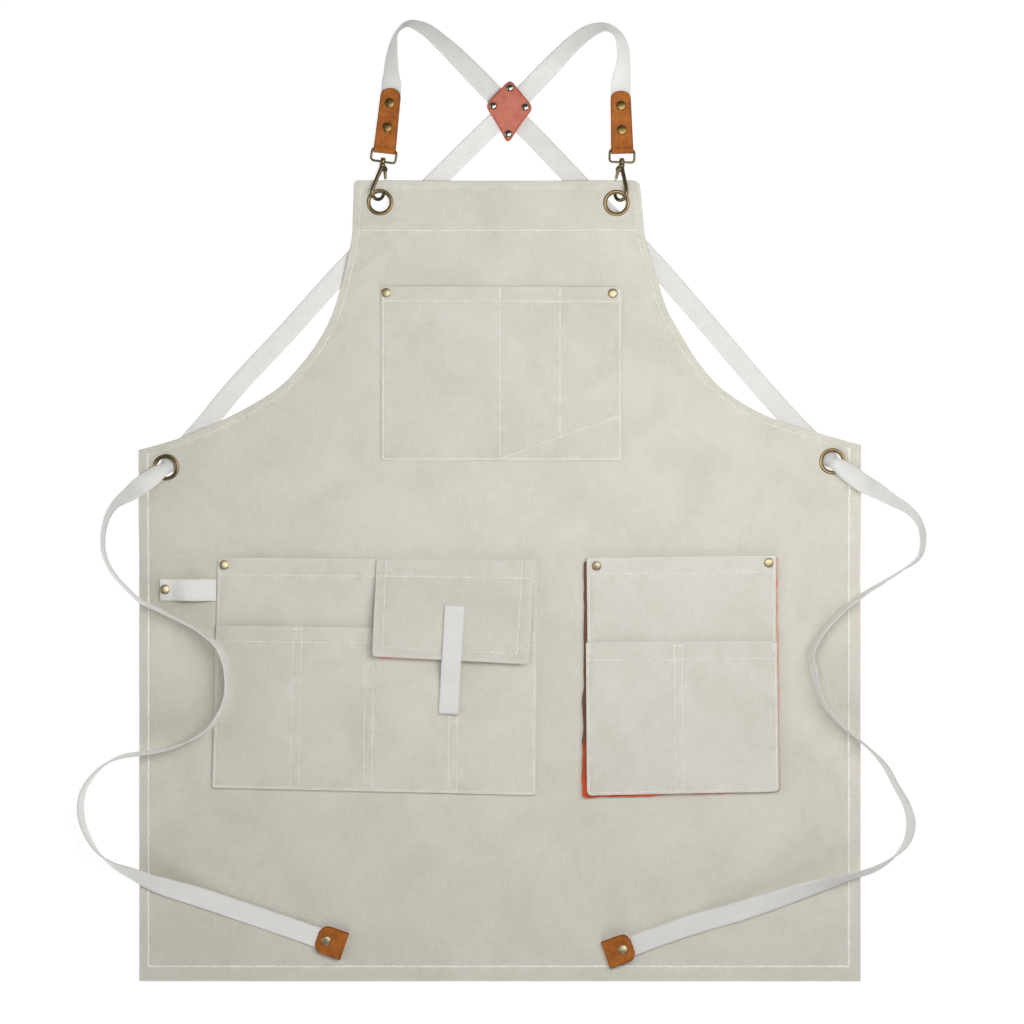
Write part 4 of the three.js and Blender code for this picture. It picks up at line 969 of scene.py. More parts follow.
def strap(name, rows, per, look=TAPE, cuts=9):
    middle, headings, roll, curl = ribbon(rows, per)
    q, half = spread_of_section(cuts)
    count, ring = len(middle), 2 * len(q)
    run = np.hypot(*np.gradient(middle[:, :2], axis=0).T)
    slope = np.gradient(middle[:, 2]) / run
    along = np.concatenate([[0], np.cumsum(np.linalg.norm(np.diff(middle, axis=0), axis=1))])
    points, uv, edge = [], [], []
    for n in range(count):
        line, out = section(headings[n], slope[n], roll[n], curl[n], q)
        wave = 0.12 * np.sin(along[n] / 5.2 + 1.3 * np.sin(along[n] / 31)) * np.abs(q) ** 4
        line = line + np.outer(wave, out.mean(axis=0))
        points.append(middle[n] + line + out * half[:, None])
        points.append((middle[n] + line - out * half[:, None])[::-1])
        across = np.concatenate([q, q[::-1]]) * WEB_WIDTH / 2000
        uv.append(np.column_stack([across, np.full(ring, along[n] / 1000)]))
        edge.append(np.clip((np.abs(np.concatenate([q, q[::-1]])) - 0.84) / 0.12, 0, 1))
    points = np.concatenate(points)
    quads = grid_faces(count, ring, wrap=True)
    k = np.arange(len(q) - 1)
    first = np.stack([k + 1, k, ring - 1 - k, ring - 2 - k], axis=1)
    quads = np.concatenate([quads, first, first[:, ::-1] + (count - 1) * ring])
    thing = build_here(name, points / 1000, [quads[:, ::-1]], look, np.concatenate(uv), {"edge": np.concatenate(edge)})
    return thing, middle / 1000


strap_left, line_left = strap("strap_left_webbing", STRAP_LEFT, 8)
strap_right, line_right = strap("strap_right_webbing", STRAP_RIGHT, 8, RIGHT_TAPE_PAINTED_LIGHT)
show(strap_left, "webbing", "strap_left")
show(strap_right, "webbing", "strap_right")


def long_of(line):
    return float(np.linalg.norm(np.diff(line, axis=0), axis=1).sum())


flap_tab, _ = strap("flap_tab_webbing", FLAP_TAB, 6)
show(flap_tab, "webbing", "flap_tab")


# -------------------------------------------------------------------- stitching
STITCH = dict(pitch=3.3, half=0.58, rise=0.5)


class Sewing(Batch):
    """Rows of machine stitches on a surface."""

    def run(self, line, surface, place=None, pitch=None, half=None, tight=False):
        """Stitches along a line in the surface's own (a, d); surface(a, d) is its height there."""
        half = half or STITCH["half"]
        line = evenly(np.asarray(line, float), pitch or STITCH["pitch"])
        wobble = 0.16 * wander(line[:, 0] * 3.1, line[:, 1] * 3.3, 4.0, 29)
        line = line + wobble[:, None] * np.array([1.0, -1.0])
        t = np.array([0.0, 0.12, 0.5, 0.88, 1.0] if tight else [0.06, 0.19, 0.5, 0.81, 0.94])
        start, step = line[:-1], np.diff(line, axis=0)
        a, d = (start[:, k, None] + step[:, k, None] * t for k in (0, 1))
        z = surface(a.ravel(), d.ravel()).reshape(a.shape)
        if place is not None:
            a, d = (x.reshape(z.shape) for x in place(a.ravel(), d.ravel()))
        ua, ud = a[:, -1] - a[:, 0], d[:, -1] - d[:, 0]
        size = np.hypot(ua, ud) + 1e-9
        swell = np.array([0.7, 0.92, 1.0, 0.92, 0.7] if tight else [0.3, 0.88, 1.0, 0.88, 0.3])[:, None]
        sink = np.array([-0.12, -0.02, 0.07, -0.02, -0.12] if tight else [-0.28, -0.03, 0.07, -0.03, -0.28])
        turn = np.arange(6) * math.pi / 3
        side = half * swell * np.cos(turn)
        ring = np.stack([
            a[..., None] - side * (ud / size)[:, None, None], d[..., None] + side * (ua / size)[:, None, None],
            (z + sink)[..., None] + STITCH["rise"] * swell * np.sin(turn)], axis=-1).reshape(len(a), 30, 3)
        ends = np.stack([a[:, [0, -1]], d[:, [0, -1]], z[:, [0, -1]] - 0.28], axis=-1)
        i = np.arange(6)
        n = (i + 1) % 6
        caps = np.concatenate([
            np.stack([np.full(6, 30), n, i], axis=1), np.stack([np.full(6, 31), 24 + i, 24 + n], axis=1)])
        first = 32 * np.arange(len(a))[:, None, None]
        self.add(np.concatenate([ring, ends], axis=1).reshape(-1, 3),
                 (grid_faces(5, 6, wrap=True)[None] + first).reshape(-1, 4), (caps[None] + first).reshape(-1, 3))

    def tack(self, p, q, surface, place=None, rows=3, gap=0.7):
        """A bar tack: a few short rows side by side."""
        p, q = np.asarray(p, float), np.asarray(q, float)
        side = np.array([-(q - p)[1], (q - p)[0]]) / np.linalg.norm(q - p)
        for k in range(rows):
            off = side * gap * (k - (rows - 1) / 2)
            self.run([p + off, q + off], surface, place, pitch=2.2, half=0.4)

    def make(self, name, look=YARN):
        points, faces = self.arrays()
        return show(build(name, points, faces, look), "canvas")


# ------------------------------------------------------------------------ panel
def inside(points, loop):
    x, y = points[:, 0], points[:, 1]
    hit = np.zeros(len(points), bool)
    for (x0, y0), (x1, y1) in zip(loop, np.roll(loop, -1, 0)):
        if y0 == y1:
            continue
        cross = (y0 > y) != (y1 > y)
        hit ^= cross & (x < (x1 - x0) * (y - y0) / (y1 - y0) + x0)
    return hit


def edge_share(a, d):
    """How far across the nearest hem a point lies (0 edge, 1 stitching), and its distance from the edge."""
    arm = np.minimum(to_line(a, d, ARM_LEFT), to_line(a, d, ARM_RIGHT))
    far = {"left": a - LEFT, "right": RIGHT - a, "bottom": BOTTOM - d, "top": d - TOP, "armhole": arm}
    share = np.full(np.shape(a), 1e9)
    near = np.full(np.shape(a), 1e9)
    for key, e in far.items():
        share = np.minimum(share, np.abs(e) / HEM[key])
        near = np.minimum(near, np.abs(e))
    return share, near


def seam_shape(dist, a, d, seed=5):
    """A stitched line: the thread pulls a groove, and the cloth puckers beside it."""
    groove = np.exp(-(dist / 0.9) ** 2)
    pucker = wander(a, d, 7.5, seed) + 0.6 * wander(a, d, 4.4, seed + 1)
    return -0.26 * groove + 0.2 * pucker * np.exp(-(dist / 5.5) ** 2), groove, pucker


def body_skin(a, d, fine=True):
    """Upper skin of the panel, with hems and seams, and how rubbed it is."""
    share, near = edge_share(a, d)
    seam = np.full(np.shape(a), 1e9)
    for line in BODY_SEAMS.values():
        seam = np.minimum(seam, to_line(a, d, line))
    away = quiet(a, d)
    groove, deep, pucker = seam_shape(seam, a, d)
    fold = 0.85 * fade(share, 0.9, 1.1)
    facing = 0.4 * fade(d, FACING - 0.6, FACING + 0.8)
    round_off = np.clip(1.3 - near, 0, 1.3) / 1.3
    high = (fold + facing + groove) * (0.25 + 0.75 * away) - 1.25 * (1 - np.sqrt(1 - 0.999 * round_off ** 2))
    wear = 0.5 + 0.3 * np.exp(-(near / 2.2) ** 2) - 0.1 * deep + 0.13 * pucker * np.exp(-(seam / 6) ** 2)
    wear = wear + 0.1 * np.exp(-((share - 0.8) / 0.12) ** 2)
    return high, np.clip(wear, 0, 1)


def panel_top(a, d):
    return body_top(a, d) + body_skin(a, d)[0]


def make_body():
    loops = [OUTLINE]
    extra = []
    shut = OUTLINE
    seams_far = lambda p: to_line(p[:, 0], p[:, 1], np.vstack([OUTLINE, OUTLINE[:1]]))
    flat = np.vstack([shut, shut[:1]])
    heading = np.roll(shut, -1, 0) - np.roll(shut, 1, 0)
    heading /= np.linalg.norm(heading, axis=1)[:, None]
    inward = np.stack([heading[:, 1], -heading[:, 0]], axis=1)
    if not inside(shut[:1] + inward[:1] * 2, shut)[0]:
        inward = -inward
    for depth in (0.55, 1.4, 3.0):
        ring = shut + inward * depth
        ring = ring[inside(ring, shut)]
        extra.append(ring[seams_far(ring) > 0.93 * depth])
    for line in BODY_SEAMS.values():
        line = evenly(line, 2.8)
        for off in (-2.2, -0.75, 0, 0.75, 2.2):
            ring = inset(line, off)
            ring = ring[inside(ring, shut)]
            extra.append(ring[seams_far(ring) > 1.9])
    holes = []
    turn = np.arange(28) * 2 * math.pi / 28
    for a, d in GROMMETS.values():
        for r in (HOLE + 0.15, 12, 14, 17, 20.5):
            ring = np.column_stack([a + r * np.cos(turn), d + r * np.sin(turn)])
            if r < 11:
                holes.append(ring)
            else:
                extra.append(ring[seams_far(ring) > 12])
    seams = [evenly(line, 4) for line in BODY_SEAMS.values()]
    pitch = 4.4
    rows = np.arange(TOP, BOTTOM, pitch * 0.866)
    mesh = np.concatenate([
        np.column_stack([np.arange(LEFT + (j % 2) * pitch / 2, RIGHT, pitch), np.full(len(np.arange(LEFT + (j % 2) * pitch / 2, RIGHT, pitch)), d)])
        for j, d in enumerate(rows)])
    mesh = mesh[inside(mesh, shut)]
    keep = seams_far(mesh) > 7.4
    for line in seams:
        keep &= to_line(mesh[:, 0], mesh[:, 1], line) > 4.0
    for a, d in GROMMETS.values():
        keep &= np.hypot(mesh[:, 0] - a, mesh[:, 1] - d) > 22.5
    extra.append(mesh[keep])
    points = np.concatenate([OUTLINE, *holes, *extra])
    edges, start = [], 0
    for loop in (OUTLINE, *holes):
        n = len(loop)
        edges += [(start + i, start + (i + 1) % n) for i in range(n)]
        start += n
    out = delaunay_2d_cdt([Vector(p) for p in points], edges, [], 1, 1e-4, False)
    points = np.array([tuple(v) for v in out[0]])
    tris = np.array([f for f in out[2] if len(f) == 3])
    middle = points[tris].mean(axis=1)
    keep = inside(middle, shut)
    for a, d in GROMMETS.values():
        keep &= np.hypot(middle[:, 0] - a, middle[:, 1] - d) > HOLE
    tris = tris[keep]
    u, v = points[tris[:, 1]] - points[tris[:, 0]], points[tris[:, 2]] - points[tris[:, 0]]
    area = u[:, 0] * v[:, 1] - u[:, 1] * v[:, 0]
    tris = np.where((area < 0)[:, None], tris[:, ::-1], tris)
    tris = tris[np.abs(area) > 1e-6]
    used, tris = np.unique(tris, return_inverse=True)
    points, tris = points[used], tris.reshape(-1, 3)
    a, d = points.T
    extra_high, wear = body_skin(a, d)
    low = body_low(a, d)
    near = edge_share(a, d)[1]
    top = low + CANVAS + extra_high
    low = low + 0.3 * (1 - np.sqrt(1 - 0.999 * (np.clip(1.3 - near, 0, 1.3) / 1.3) ** 2))
    top = np.maximum(top, low + 0.25)
    count = len(points)
    all_points = np.vstack([np.column_stack([points, top]), np.column_stack([points, low])])
    sides = np.concatenate([tris[:, [0, 1]], tris[:, [1, 2]], tris[:, [2, 0]]])
    key = np.sort(sides, axis=1)
    _, first, uses = np.unique(key, axis=0, return_index=True, return_counts=True)
    rim = sides[first[uses == 1]]
    quads = np.column_stack([rim[:, 1], rim[:, 0], rim[:, 0] + count, rim[:, 1] + count])
    thing = build("apron_canvas", all_points, [np.vstack([tris, tris[:, ::-1] + count]), quads], BODY_CLOTH,
                  values={"wear": np.concatenate([wear, wear])})
    flat_area = float(np.abs(area).sum() / 2) / 1e6
    return show(thing, "canvas", "apron_body"), flat_area


body, BODY_AREA = make_body()
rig.sheet(body, flat=(0.7222, 0.8013), held="laid", rests_on=[], area=BODY_AREA)

sewing, hem_sewing = Sewing(), Sewing()
for key, line in BODY_SEAMS.items():
    if key in ("left", "right", "bottom"):
        hem_sewing.run(line, panel_top, pitch=2.7, half=1.5, tight=True)  # heavy, close topstitching
    elif key == "facing":
        sewing.run(line, panel_top, pitch=2.7, half=0.6, tight=True)
    elif key != "top":  # the top edge is felled from behind
        sewing.run(line, panel_top)
sewing.make("stitches_panel")
hem_sewing.make("stitches_hem", HEM_YARN)


# ---------------------------------------------------------------------- pockets
def lines_near(low, high, step, marks):
    """Grid lines from low to high, finer beside the marks and at both ends."""
    found = list(np.linspace(low, high, max(2, int(round((high - low) / step)) + 1)))
    for m in marks:
        found = [x for x in found if abs(x - m) > 2.9 or x in (low, high)]
    for m in marks:
        found += [m + s for s in (-2.2, -0.8, 0, 0.8, 2.2) if low < m + s < high]
    for end, sign in ((low, 1), (high, -1)):
        found = [x for x in found if abs(x - end) > 2.4 or x == end]
        found += [end + sign * s for s in (0.3, 0.9, 1.8)]
    found = sorted(found)
    kept = [found[0]]
    for x in found[1:]:
        if x - kept[-1] > 0.22:
            kept.append(x)
    kept[-1] = high
    return np.array(kept)


def rounded(rect, radii):
    """Rounds the corners of a nominal rectangle: (upper left, upper right, lower right, lower left)."""
    left, right, top, bottom = rect

    def place(a, d):
        a, d = np.array(a, float), np.array(d, float)
        for (ca, cd, sa, sd), r in zip(
                ((left, top, 1, 1), (right, top, -1, 1), (right, bottom, -1, -1), (left, bottom, 1, -1)), radii):
            if not r:
                continue
            x = np.clip((ca + sa * r - a) * sa / r, 0, 1)
            y = np.clip((cd + sd * r - d) * sd / r, 0, 1)
            both = (x > 0) & (y > 0)
            x2, y2 = x * np.sqrt(1 - y * y / 2), y * np.sqrt(1 - x * x / 2)
            a = np.where(both, ca + sa * r * (1 - x2), a)
            d = np.where(both, cd + sd * r * (1 - y2), d)
        return a, d

    return place


class Pocket:
    """A sewn-on piece of cloth over a nominal rectangle.

    folds: side -> (width, thickness) of the turned edge; seams: stitched lines.
    """

    def __init__(self, shape, under, thick, rect=None, folds=None, seams=(), radii=(0, 0, 0, 0), ragged=0.0, seed=1):
        self.rect = rect or shape["rect"]
        self.under, self.thick, self.seed, self.ragged = under, thick, seed, ragged
        self.folds, self.seams = folds or {}, [np.asarray(s, float) for s in seams]
        lay, soften = laid(shape), rounded(self.rect, radii)
        self.place = lambda a, d: lay(*soften(a, d))

    def from_edges(self, a, d):
        left, right, top, bottom = self.rect
        return {"left": a - left, "right": right - a, "top": d - top, "bottom": bottom - d}

    def skin(self, a, d):
        far = self.from_edges(a, d)
        near = np.minimum.reduce(list(far.values()))
        seam = np.full(np.shape(a), 1e9)
        for line in self.seams:
            seam = np.minimum(seam, to_line(a, d, line))
        groove, deep, pucker = seam_shape(seam, a, d, self.seed)
        fold = np.zeros(np.shape(a))
        for side, (width, high) in self.folds.items():
            fold = np.maximum(fold, high * fade(far[side], width - 0.7, width + 0.9))
        round_off = np.clip(1.2 - near, 0, 1.2) / 1.2
        high = fold + groove - 0.85 * (1 - np.sqrt(1 - 0.999 * round_off ** 2))
        high = high + 0.1 * wander(a, d, 15, self.seed + 2)
        wear = 0.5 + 0.34 * np.exp(-(near / 1.8) ** 2) - 0.08 * deep + 0.14 * pucker * np.exp(-(seam / 6) ** 2)
        return high, np.clip(wear, 0, 1)

    def top(self, a, d):
        return self.under(a, d) + self.thick + self.skin(a, d)[0]

    def make(self, name, look, slot, node, step=2.7, dull=None, tint=None):
        left, right, top, bottom = self.rect
        marks_a, marks_d = [], []
        for line in self.seams:
            (a0, d0), (a1, d1) = line[0], line[-1]
            if abs(a0 - a1) < 1.5:
                marks_a.append((a0 + a1) / 2)
            if abs(d0 - d1) < 1.5:
                marks_d.append((d0 + d1) / 2)
        across = lines_near(left, right, step, marks_a)
        down = lines_near(top, bottom, step, marks_d)
        if dull:  # rows that another piece covers need no detail
            down = np.concatenate([down[down <= dull[0]], np.arange(dull[0] + 6, dull[1] - 6, 9.0), down[down >= dull[1]]])
        a, d = (x.ravel() for x in np.meshgrid(across, down))
        high, wear = self.skin(a, d)
        low = self.under(a, d)
        top_z = np.maximum(low + self.thick + high, low + 0.25)
        sheet_a, sheet_d = self.place(a, d)
        if self.ragged:
            for k, (sa, sd) in (("left", (-1, 0)), ("right", (1, 0)), ("bottom", (0, 1))):
                e = self.from_edges(a, d)[k]
                push = self.ragged * (wander(a, d, 19, self.seed + 7) + 0.6 * wander(a, d, 6.5, self.seed + 8)) * fade(e, 0, 14)
                sheet_a, sheet_d = sheet_a + sa * push, sheet_d + sd * push
        count, columns, rows = len(a), len(across), len(down)
        quads = grid_faces(rows, columns)
        loop = np.concatenate([
            np.arange(columns), columns * np.arange(1, rows) + columns - 1,
            columns * (rows - 1) + np.arange(columns - 2, -1, -1), columns * np.arange(rows - 2, 0, -1)])
        after = np.roll(loop, -1)
        rim = np.column_stack([after, loop, loop + count, after + count])
        points = np.vstack([np.column_stack([sheet_a, sheet_d, top_z]), np.column_stack([sheet_a, sheet_d, low])])
        values = {"wear": np.concatenate([wear, wear])}
        if tint is not None:
            values["tint"] = np.tile(tint(sheet_a, sheet_d), 2)
        thing = build(name, points, [np.vstack([quads, quads[:, ::-1] + count, rim])], look, values=values)
        return show(thing, slot, node)


def sew(pocket, name, tacks=()):
    work = Sewing()
    left, right, top, bottom = pocket.rect
    for line in pocket.seams:
        (a0, d0), (a1, d1) = line[0], line[-1]
        rim = (abs(a0 - a1) < 1.5 and min(abs(a0 - left), abs(a0 - right)) < 4) or (abs(d0 - d1) < 1.5 and abs(d0 - bottom) < 4)
        work.run(line, pocket.top, pocket.place, half=0.46 if rim else None)
    for p, q in tacks:
        work.tack(p, q, pocket.top, pocket.place)
    return work.make(name)


bib = Pocket(BIB_POCKET, bib_pocket_under, CANVAS, folds={"top": (15, 0.55), "left": (6, 0.45), "right": (6, 0.45), "bottom": (6, 0.45)}, seams=[
    [(383, 301), (620, 301)], [(383.6, 287.5), (383.6, 458.6)], [(619.6, 287.5), (619.6, 458.6)],
    [(383.6, 458.6), (619.6, 458.6)], [(500, 287), (500, 458.6)], [(560, 287), (560, 437.6)], [(500.4, 458.6), (619.6, 415.6)],
], radii=(2, 2, 3, 3), seed=31)
bib_cloth = bib.make("bib_pocket_canvas", BIB_CLOTH_PAINTED_SHADE, "canvas", "bib_pocket")
sew(bib, "stitches_bib_pocket", tacks=[((500, 288), (500, 297)), ((560, 288), (560, 296)), ((384.4, 289), (384.4, 298)), ((618.8, 289), (618.8, 298))])
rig.sheet(bib_cloth, flat=(0.255, 0.19), held="laid", rests_on=["apron_canvas"])

tool_back = Pocket(TOOL_POCKET, tool_back_under, CANVAS, folds={"top": (18, 0.5), "left": (6, 0.4), "right": (6, 0.4)}, seams=[
    [(219.5, 575), (534.5, 575)], [(219.8, 559), (219.8, 628)], [(534.4, 559), (534.4, 628)],
], radii=(2, 2, 2, 2), seed=41)
tool_back_cloth = tool_back.make("tool_pocket_back_canvas", TOOL_CLOTH_PAINTED_LIGHT, "canvas", "tool_pocket_back", dull=(646, 786))
sew(tool_back, "stitches_tool_pocket_back")
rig.sheet(tool_back_cloth, flat=(0.335, 0.255), held="laid", rests_on=["apron_canvas"])

TOOL_DIVIDERS = [(294.6, 303.0), (366.6, 374.8), (450.5, 458.6)]
tool_front = Pocket(TOOL_POCKET, tool_front_under, CANVAS, rect=(217, 537, TOOL_MOUTH, 794),
                    folds={"top": (16, 0.55), "left": (5, 0.4), "right": (5, 0.4), "bottom": (5, 0.45)}, seams=[
    [(219, 643), (535, 643)], [(219.6, 628.5), (219.6, 791.4)], [(534.6, 628.5), (534.6, 791.4)], [(219.6, 791.4), (534.6, 791.4)],
    *[[(a, 628.5), (a, 791.4)] for pair in TOOL_DIVIDERS for a in pair],
], radii=(2, 2, 3, 3), seed=47)
tool_front_cloth = tool_front.make("tool_pocket_front_canvas", TOOL_CLOTH_PAINTED_LIGHT, "canvas", "tool_pocket_front")
sew(tool_front, "stitches_tool_pocket_front", tacks=[*[((l, 629.5), (r, 629.5)) for l, r in TOOL_DIVIDERS], ((220.2, 629), (220.2, 639)), ((534, 629), (534, 639))])
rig.sheet(tool_front_cloth, flat=(0.345, 0.185), held="laid", rests_on=["tool_pocket_back_canvas"])

flap_lining_piece = Pocket(FLAP_LINING, flap_lining_under, LINING, radii=(0, 0, 6, 4), ragged=0.5, seed=53)
flap_lining_cloth = flap_lining_piece.make("flap_lining_nylon", ORANGE, "lining", "flap_lining")
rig.sheet(flap_lining_cloth, flat=(0.145, 0.08), held="laid", rests_on=["pocket_flap_canvas"])
flap = Pocket(FLAP, flap_under, CANVAS, folds={"left": (9, 0.5), "right": (11, 0.5), "bottom": (10, 0.55)}, seams=[
    [(379, 577), (531.5, 577)], [(385, 562), (385, 650.5)], [(521.5, 562), (521.5, 651)], [(385, 650.6), (521.5, 651)],
], radii=(2, 3, 6, 4), seed=59)
flap_cloth = flap.make("pocket_flap_canvas", FLAP_CLOTH, "canvas", "pocket_flap", step=2.4)
sew(flap, "stitches_flap")
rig.sheet(flap_cloth, flat=(0.165, 0.11), held="hung", rests_on=["tool_pocket_back_canvas"])

pouch_lining_piece = Pocket(POUCH_LINING, pouch_lining_under, LINING, radii=(3, 3, 5, 4), ragged=0.8, seed=61)
# tint: painted shade in brown along the pouch lining's left side, strongest above 726 down; paler along its right side
pouch_lining_cloth = pouch_lining_piece.make("pouch_lining_nylon", ORANGE, "lining", "pouch_lining", step=4,
                                             tint=lambda a, d: fade(a, 590, 610) * (0.36 + 0.64 * fade(d, 726, 748)) - (0.75 + 0.2 * (1 - fade(d, 632, 648))) * (1 - fade(a, 745, 765)))
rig.sheet(pouch_lining_cloth, flat=(0.2, 0.245), held="hung", rests_on=["apron_canvas"])
pouch = Pocket(POUCH, pouch_under, CANVAS, folds={"top": (17, 0.5), "left": (5, 0.4), "right": (5, 0.4)}, seams=[
    [(590.5, 572.5), (775, 572.5)], [(590.4, 558), (590.4, 644)], [(774.8, 558), (774.8, 644)],
], radii=(2, 2, 4, 4), seed=67)
pouch_cloth = pouch.make("pouch_panel_canvas", POUCH_CLOTH, "canvas", "pouch_panel", dull=(660, 786))
sew(pouch, "stitches_pouch")
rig.sheet(pouch_cloth, flat=(0.205, 0.255), held="hung", rests_on=["pouch_lining_nylon"])
pouch_front = Pocket(POUCH_POCKET, pouch_pocket_under, CANVAS,
                     folds={"top": (17.5, 0.55), "left": (5, 0.4), "right": (5, 0.4), "bottom": (5, 0.45)}, seams=[
    [(590, 659.6), (775, 659.6)], [(590.4, 643.5), (590.4, 791.2)], [(774.8, 643.5), (774.8, 791.2)], [(590.4, 791.2), (774.8, 791.2)],
    [(675.2, 644), (675.2, 791.2)], [(683, 644), (683, 791.2)],
], radii=(2, 2, 5, 5), seed=71)
pouch_front_cloth = pouch_front.make("pouch_pocket_canvas", POUCH_CLOTH, "canvas", "pouch_pocket")
sew(pouch_front, "stitches_pouch_pocket", tacks=[((591.4, 644.5), (591.4, 654)), ((773.6, 644.5), (773.6, 654)), ((674.4, 646.4), (683.8, 646.4))])
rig.sheet(pouch_front_cloth, flat=(0.21, 0.17), held="hung", rests_on=["pouch_panel_canvas"])


# -------------------------------------------------------------------- tool loop
def loop_under(a, d):
    flat, end = TOOL_LOOP["flat"], TOOL_LOOP["right"] - 2
    t = np.clip((a - flat) / (end - flat), 0, 1)
    return lift(a, d) + CANVAS + GAP + TOOL_LOOP["rise"] * np.sin(math.pi * t) ** 1.4


def make_loop():
    along = lines_near(TOOL_LOOP["left"], TOOL_LOOP["right"], 1.6, [])
    q, half = spread_of_section(9)
    mid = (TOOL_LOOP["top"] + TOOL_LOOP["bottom"]) / 2
    width = (TOOL_LOOP["bottom"] - TOOL_LOOP["top"]) / 2
    points, uv, edge = [], [], []
    grown = 0.0
    for k, a in enumerate(along):
        d = mid + q * width
        end = min(a - along[0], along[-1] - a)
        thin = 1 - 0.6 * max(0, 1 - end / 0.9) ** 2
        base = loop_under(np.full(len(q), a), d) + WEB_THICK / 2
        if k:
            grown += math.hypot(a - along[k - 1], float(base[5] - last))
        last = base[5]
        points += [np.column_stack([np.full(len(q), a), d, base + half * thin]),
                   np.column_stack([np.full(len(q), a), d, base - half * thin])[::-1]]
        both = np.concatenate([q, q[::-1]])
        uv.append(np.column_stack([both * width / 1000, np.full(len(both), grown / 1000)]))
        edge.append(np.clip((np.abs(both) - 0.84) / 0.12, 0, 1))
    ring = 2 * len(q)
    quads = grid_faces(len(along), ring, wrap=True)
    k = np.arange(len(q) - 1)
    first = np.stack([k + 1, k, ring - 1 - k, ring - 2 - k], axis=1)
    quads = np.concatenate([quads, first, first[:, ::-1] + (len(along) - 1) * ring])
    return show(build("tool_loop_webbing", np.concatenate(points), [quads], LOOP_TAPE_PAINTED_LIGHT, np.concatenate(uv),
                      {"edge": np.concatenate(edge)}), "webbing", "tool_loop")


make_loop()
loop_top = lambda a, d: loop_under(a, d) + WEB_THICK - 0.08
tape_sewing = Sewing()
tape_sewing.run([(214.6, 580), (214.6, 600)], loop_top)
tape_sewing.run([(161.2, 580.5), (161.2, 599.5)], loop_top)


# where the flap's tab is sewn on
def tab_top(a, d):
    q = np.interp(d, [r[1] for r in FLAP_TAB], [r[0] for r in FLAP_TAB])
    return bed(q, d) + GAP + WEB_THICK - 0.02 + 0 * a


for d0 in (607.0, 649.6):
    mid = np.interp(d0, [r[1] for r in FLAP_TAB], [r[0] for r in FLAP_TAB])
    tape_sewing.run([(mid - 10, d0), (mid + 10, d0 + 0.3)], tab_top)
tape_sewing.make("stitches_webbing")


# --------------------------------------------------------------------- fittings
def turned(group, points):
    return points @ np.asarray(group)[:3, :3].T + np.asarray(group)[:3, 3]


def spin(axis, degrees):
    c, s = math.cos(math.radians(degrees)), math.sin(math.radians(degrees))
    m = np.eye(4)
    i, j = {"x": (1, 2), "y": (2, 0), "z": (0, 1)}[axis]
    m[i, i], m[i, j], m[j, i], m[j, j] = c, -s, s, c
    return m


def shift(x, y, z):
    m = np.eye(4)
    m[:3, 3] = x, y, z
    return m


def on_sheet(a, d, z=0.0):
    return shift(a - ORIGIN[0], ORIGIN[1] - d, z)


def hardware(name, batch_points, faces, look, slot, *nodes, body="apron", sharp=38, values=None):
    thing = build_here(name, np.asarray(batch_points) / 1000, faces, look, values=values, sharp=sharp)
    return show(thing, slot, *nodes, body=body)


def cap_profile(head, dome, seat, foot, shank=1.3):
    """A rivet: shank, rolled rim, shallow groove and domed head."""
    arc = [(head * math.sin(t), seat + dome * (0.28 + 0.72 * math.cos(t) ** 0.9)) for t in np.radians([62, 54, 45, 36, 27, 18, 9])]
    return [(0, foot), (shank, foot), (shank, seat + 0.05), (head * 0.93, seat + 0.02), (head * 0.985, seat + dome * 0.1),
            (head, seat + dome * 0.24), (head * 0.985, seat + dome * 0.4), (head * 0.95, seat + dome * 0.5),
            *[(r, z) for r, z in arc if r < head * 0.93], (0, seat + dome)]


def rivet(name, group, head, dome, seat, foot, look, slot):
    points, quads, fans = lathe(cap_profile(head, dome, seat, foot), 36)
    hollow = np.clip((np.hypot(points[:, 0], points[:, 1]) / head - 0.86) / 0.14, 0, 1) * 0.55
    return hardware(name + "_head", turned(group, points), [quads, fans], look, slot, name, values={"hollow": hollow}, sharp=60)


def seat_of(top, a, d, r=4.6):
    turn = np.linspace(0, 2 * math.pi, 13)[:-1]
    return float(np.max(top(a + np.append(r * np.cos(turn), 0), d + np.append(r * np.sin(turn), 0))))


RIVET_SURFACE = {
    "rivet_bib_pocket_left": lambda a, d: bib.under(a, d) + CANVAS + 0.35,
    "rivet_bib_pocket_right": lambda a, d: bib.under(a, d) + CANVAS + 0.35,
    "rivet_tool_pocket": lambda a, d: tool_back.under(a, d) + CANVAS + 0.35,
    "rivet_tool_loop": lambda a, d: loop_under(np.minimum(a, 169), d) + WEB_THICK,
    "rivet_pouch_left": lambda a, d: pouch.under(a, d) + CANVAS + 0.35,
    "rivet_pouch_right": lambda a, d: pouch.under(a, d) + CANVAS + 0.35,
}
ASKEW = {"rivet_bib_pocket_left": (0, -1), "rivet_tool_pocket": (-5, 11), "rivet_tool_loop": (-5, 11), "rivet_pouch_left": (5, -6)}


def askew(x, y, seat):
    """A head that sits a few degrees out of true."""
    return shift(0, 0, seat) @ spin("x", x) @ spin("y", y) @ shift(0, 0, -seat)


for name, (a, d) in POCKET_RIVETS.items():
    seat = seat_of(RIVET_SURFACE[name], a, d) - 0.15
    rivet(name, on_sheet(a, d) @ askew(*ASKEW.get(name, (0, 0)), seat), 4.8, 1.7, seat, float(body_under(a, d)) + 0.15, BRASS_PAINTED_BRIGHT, "antique_brass")


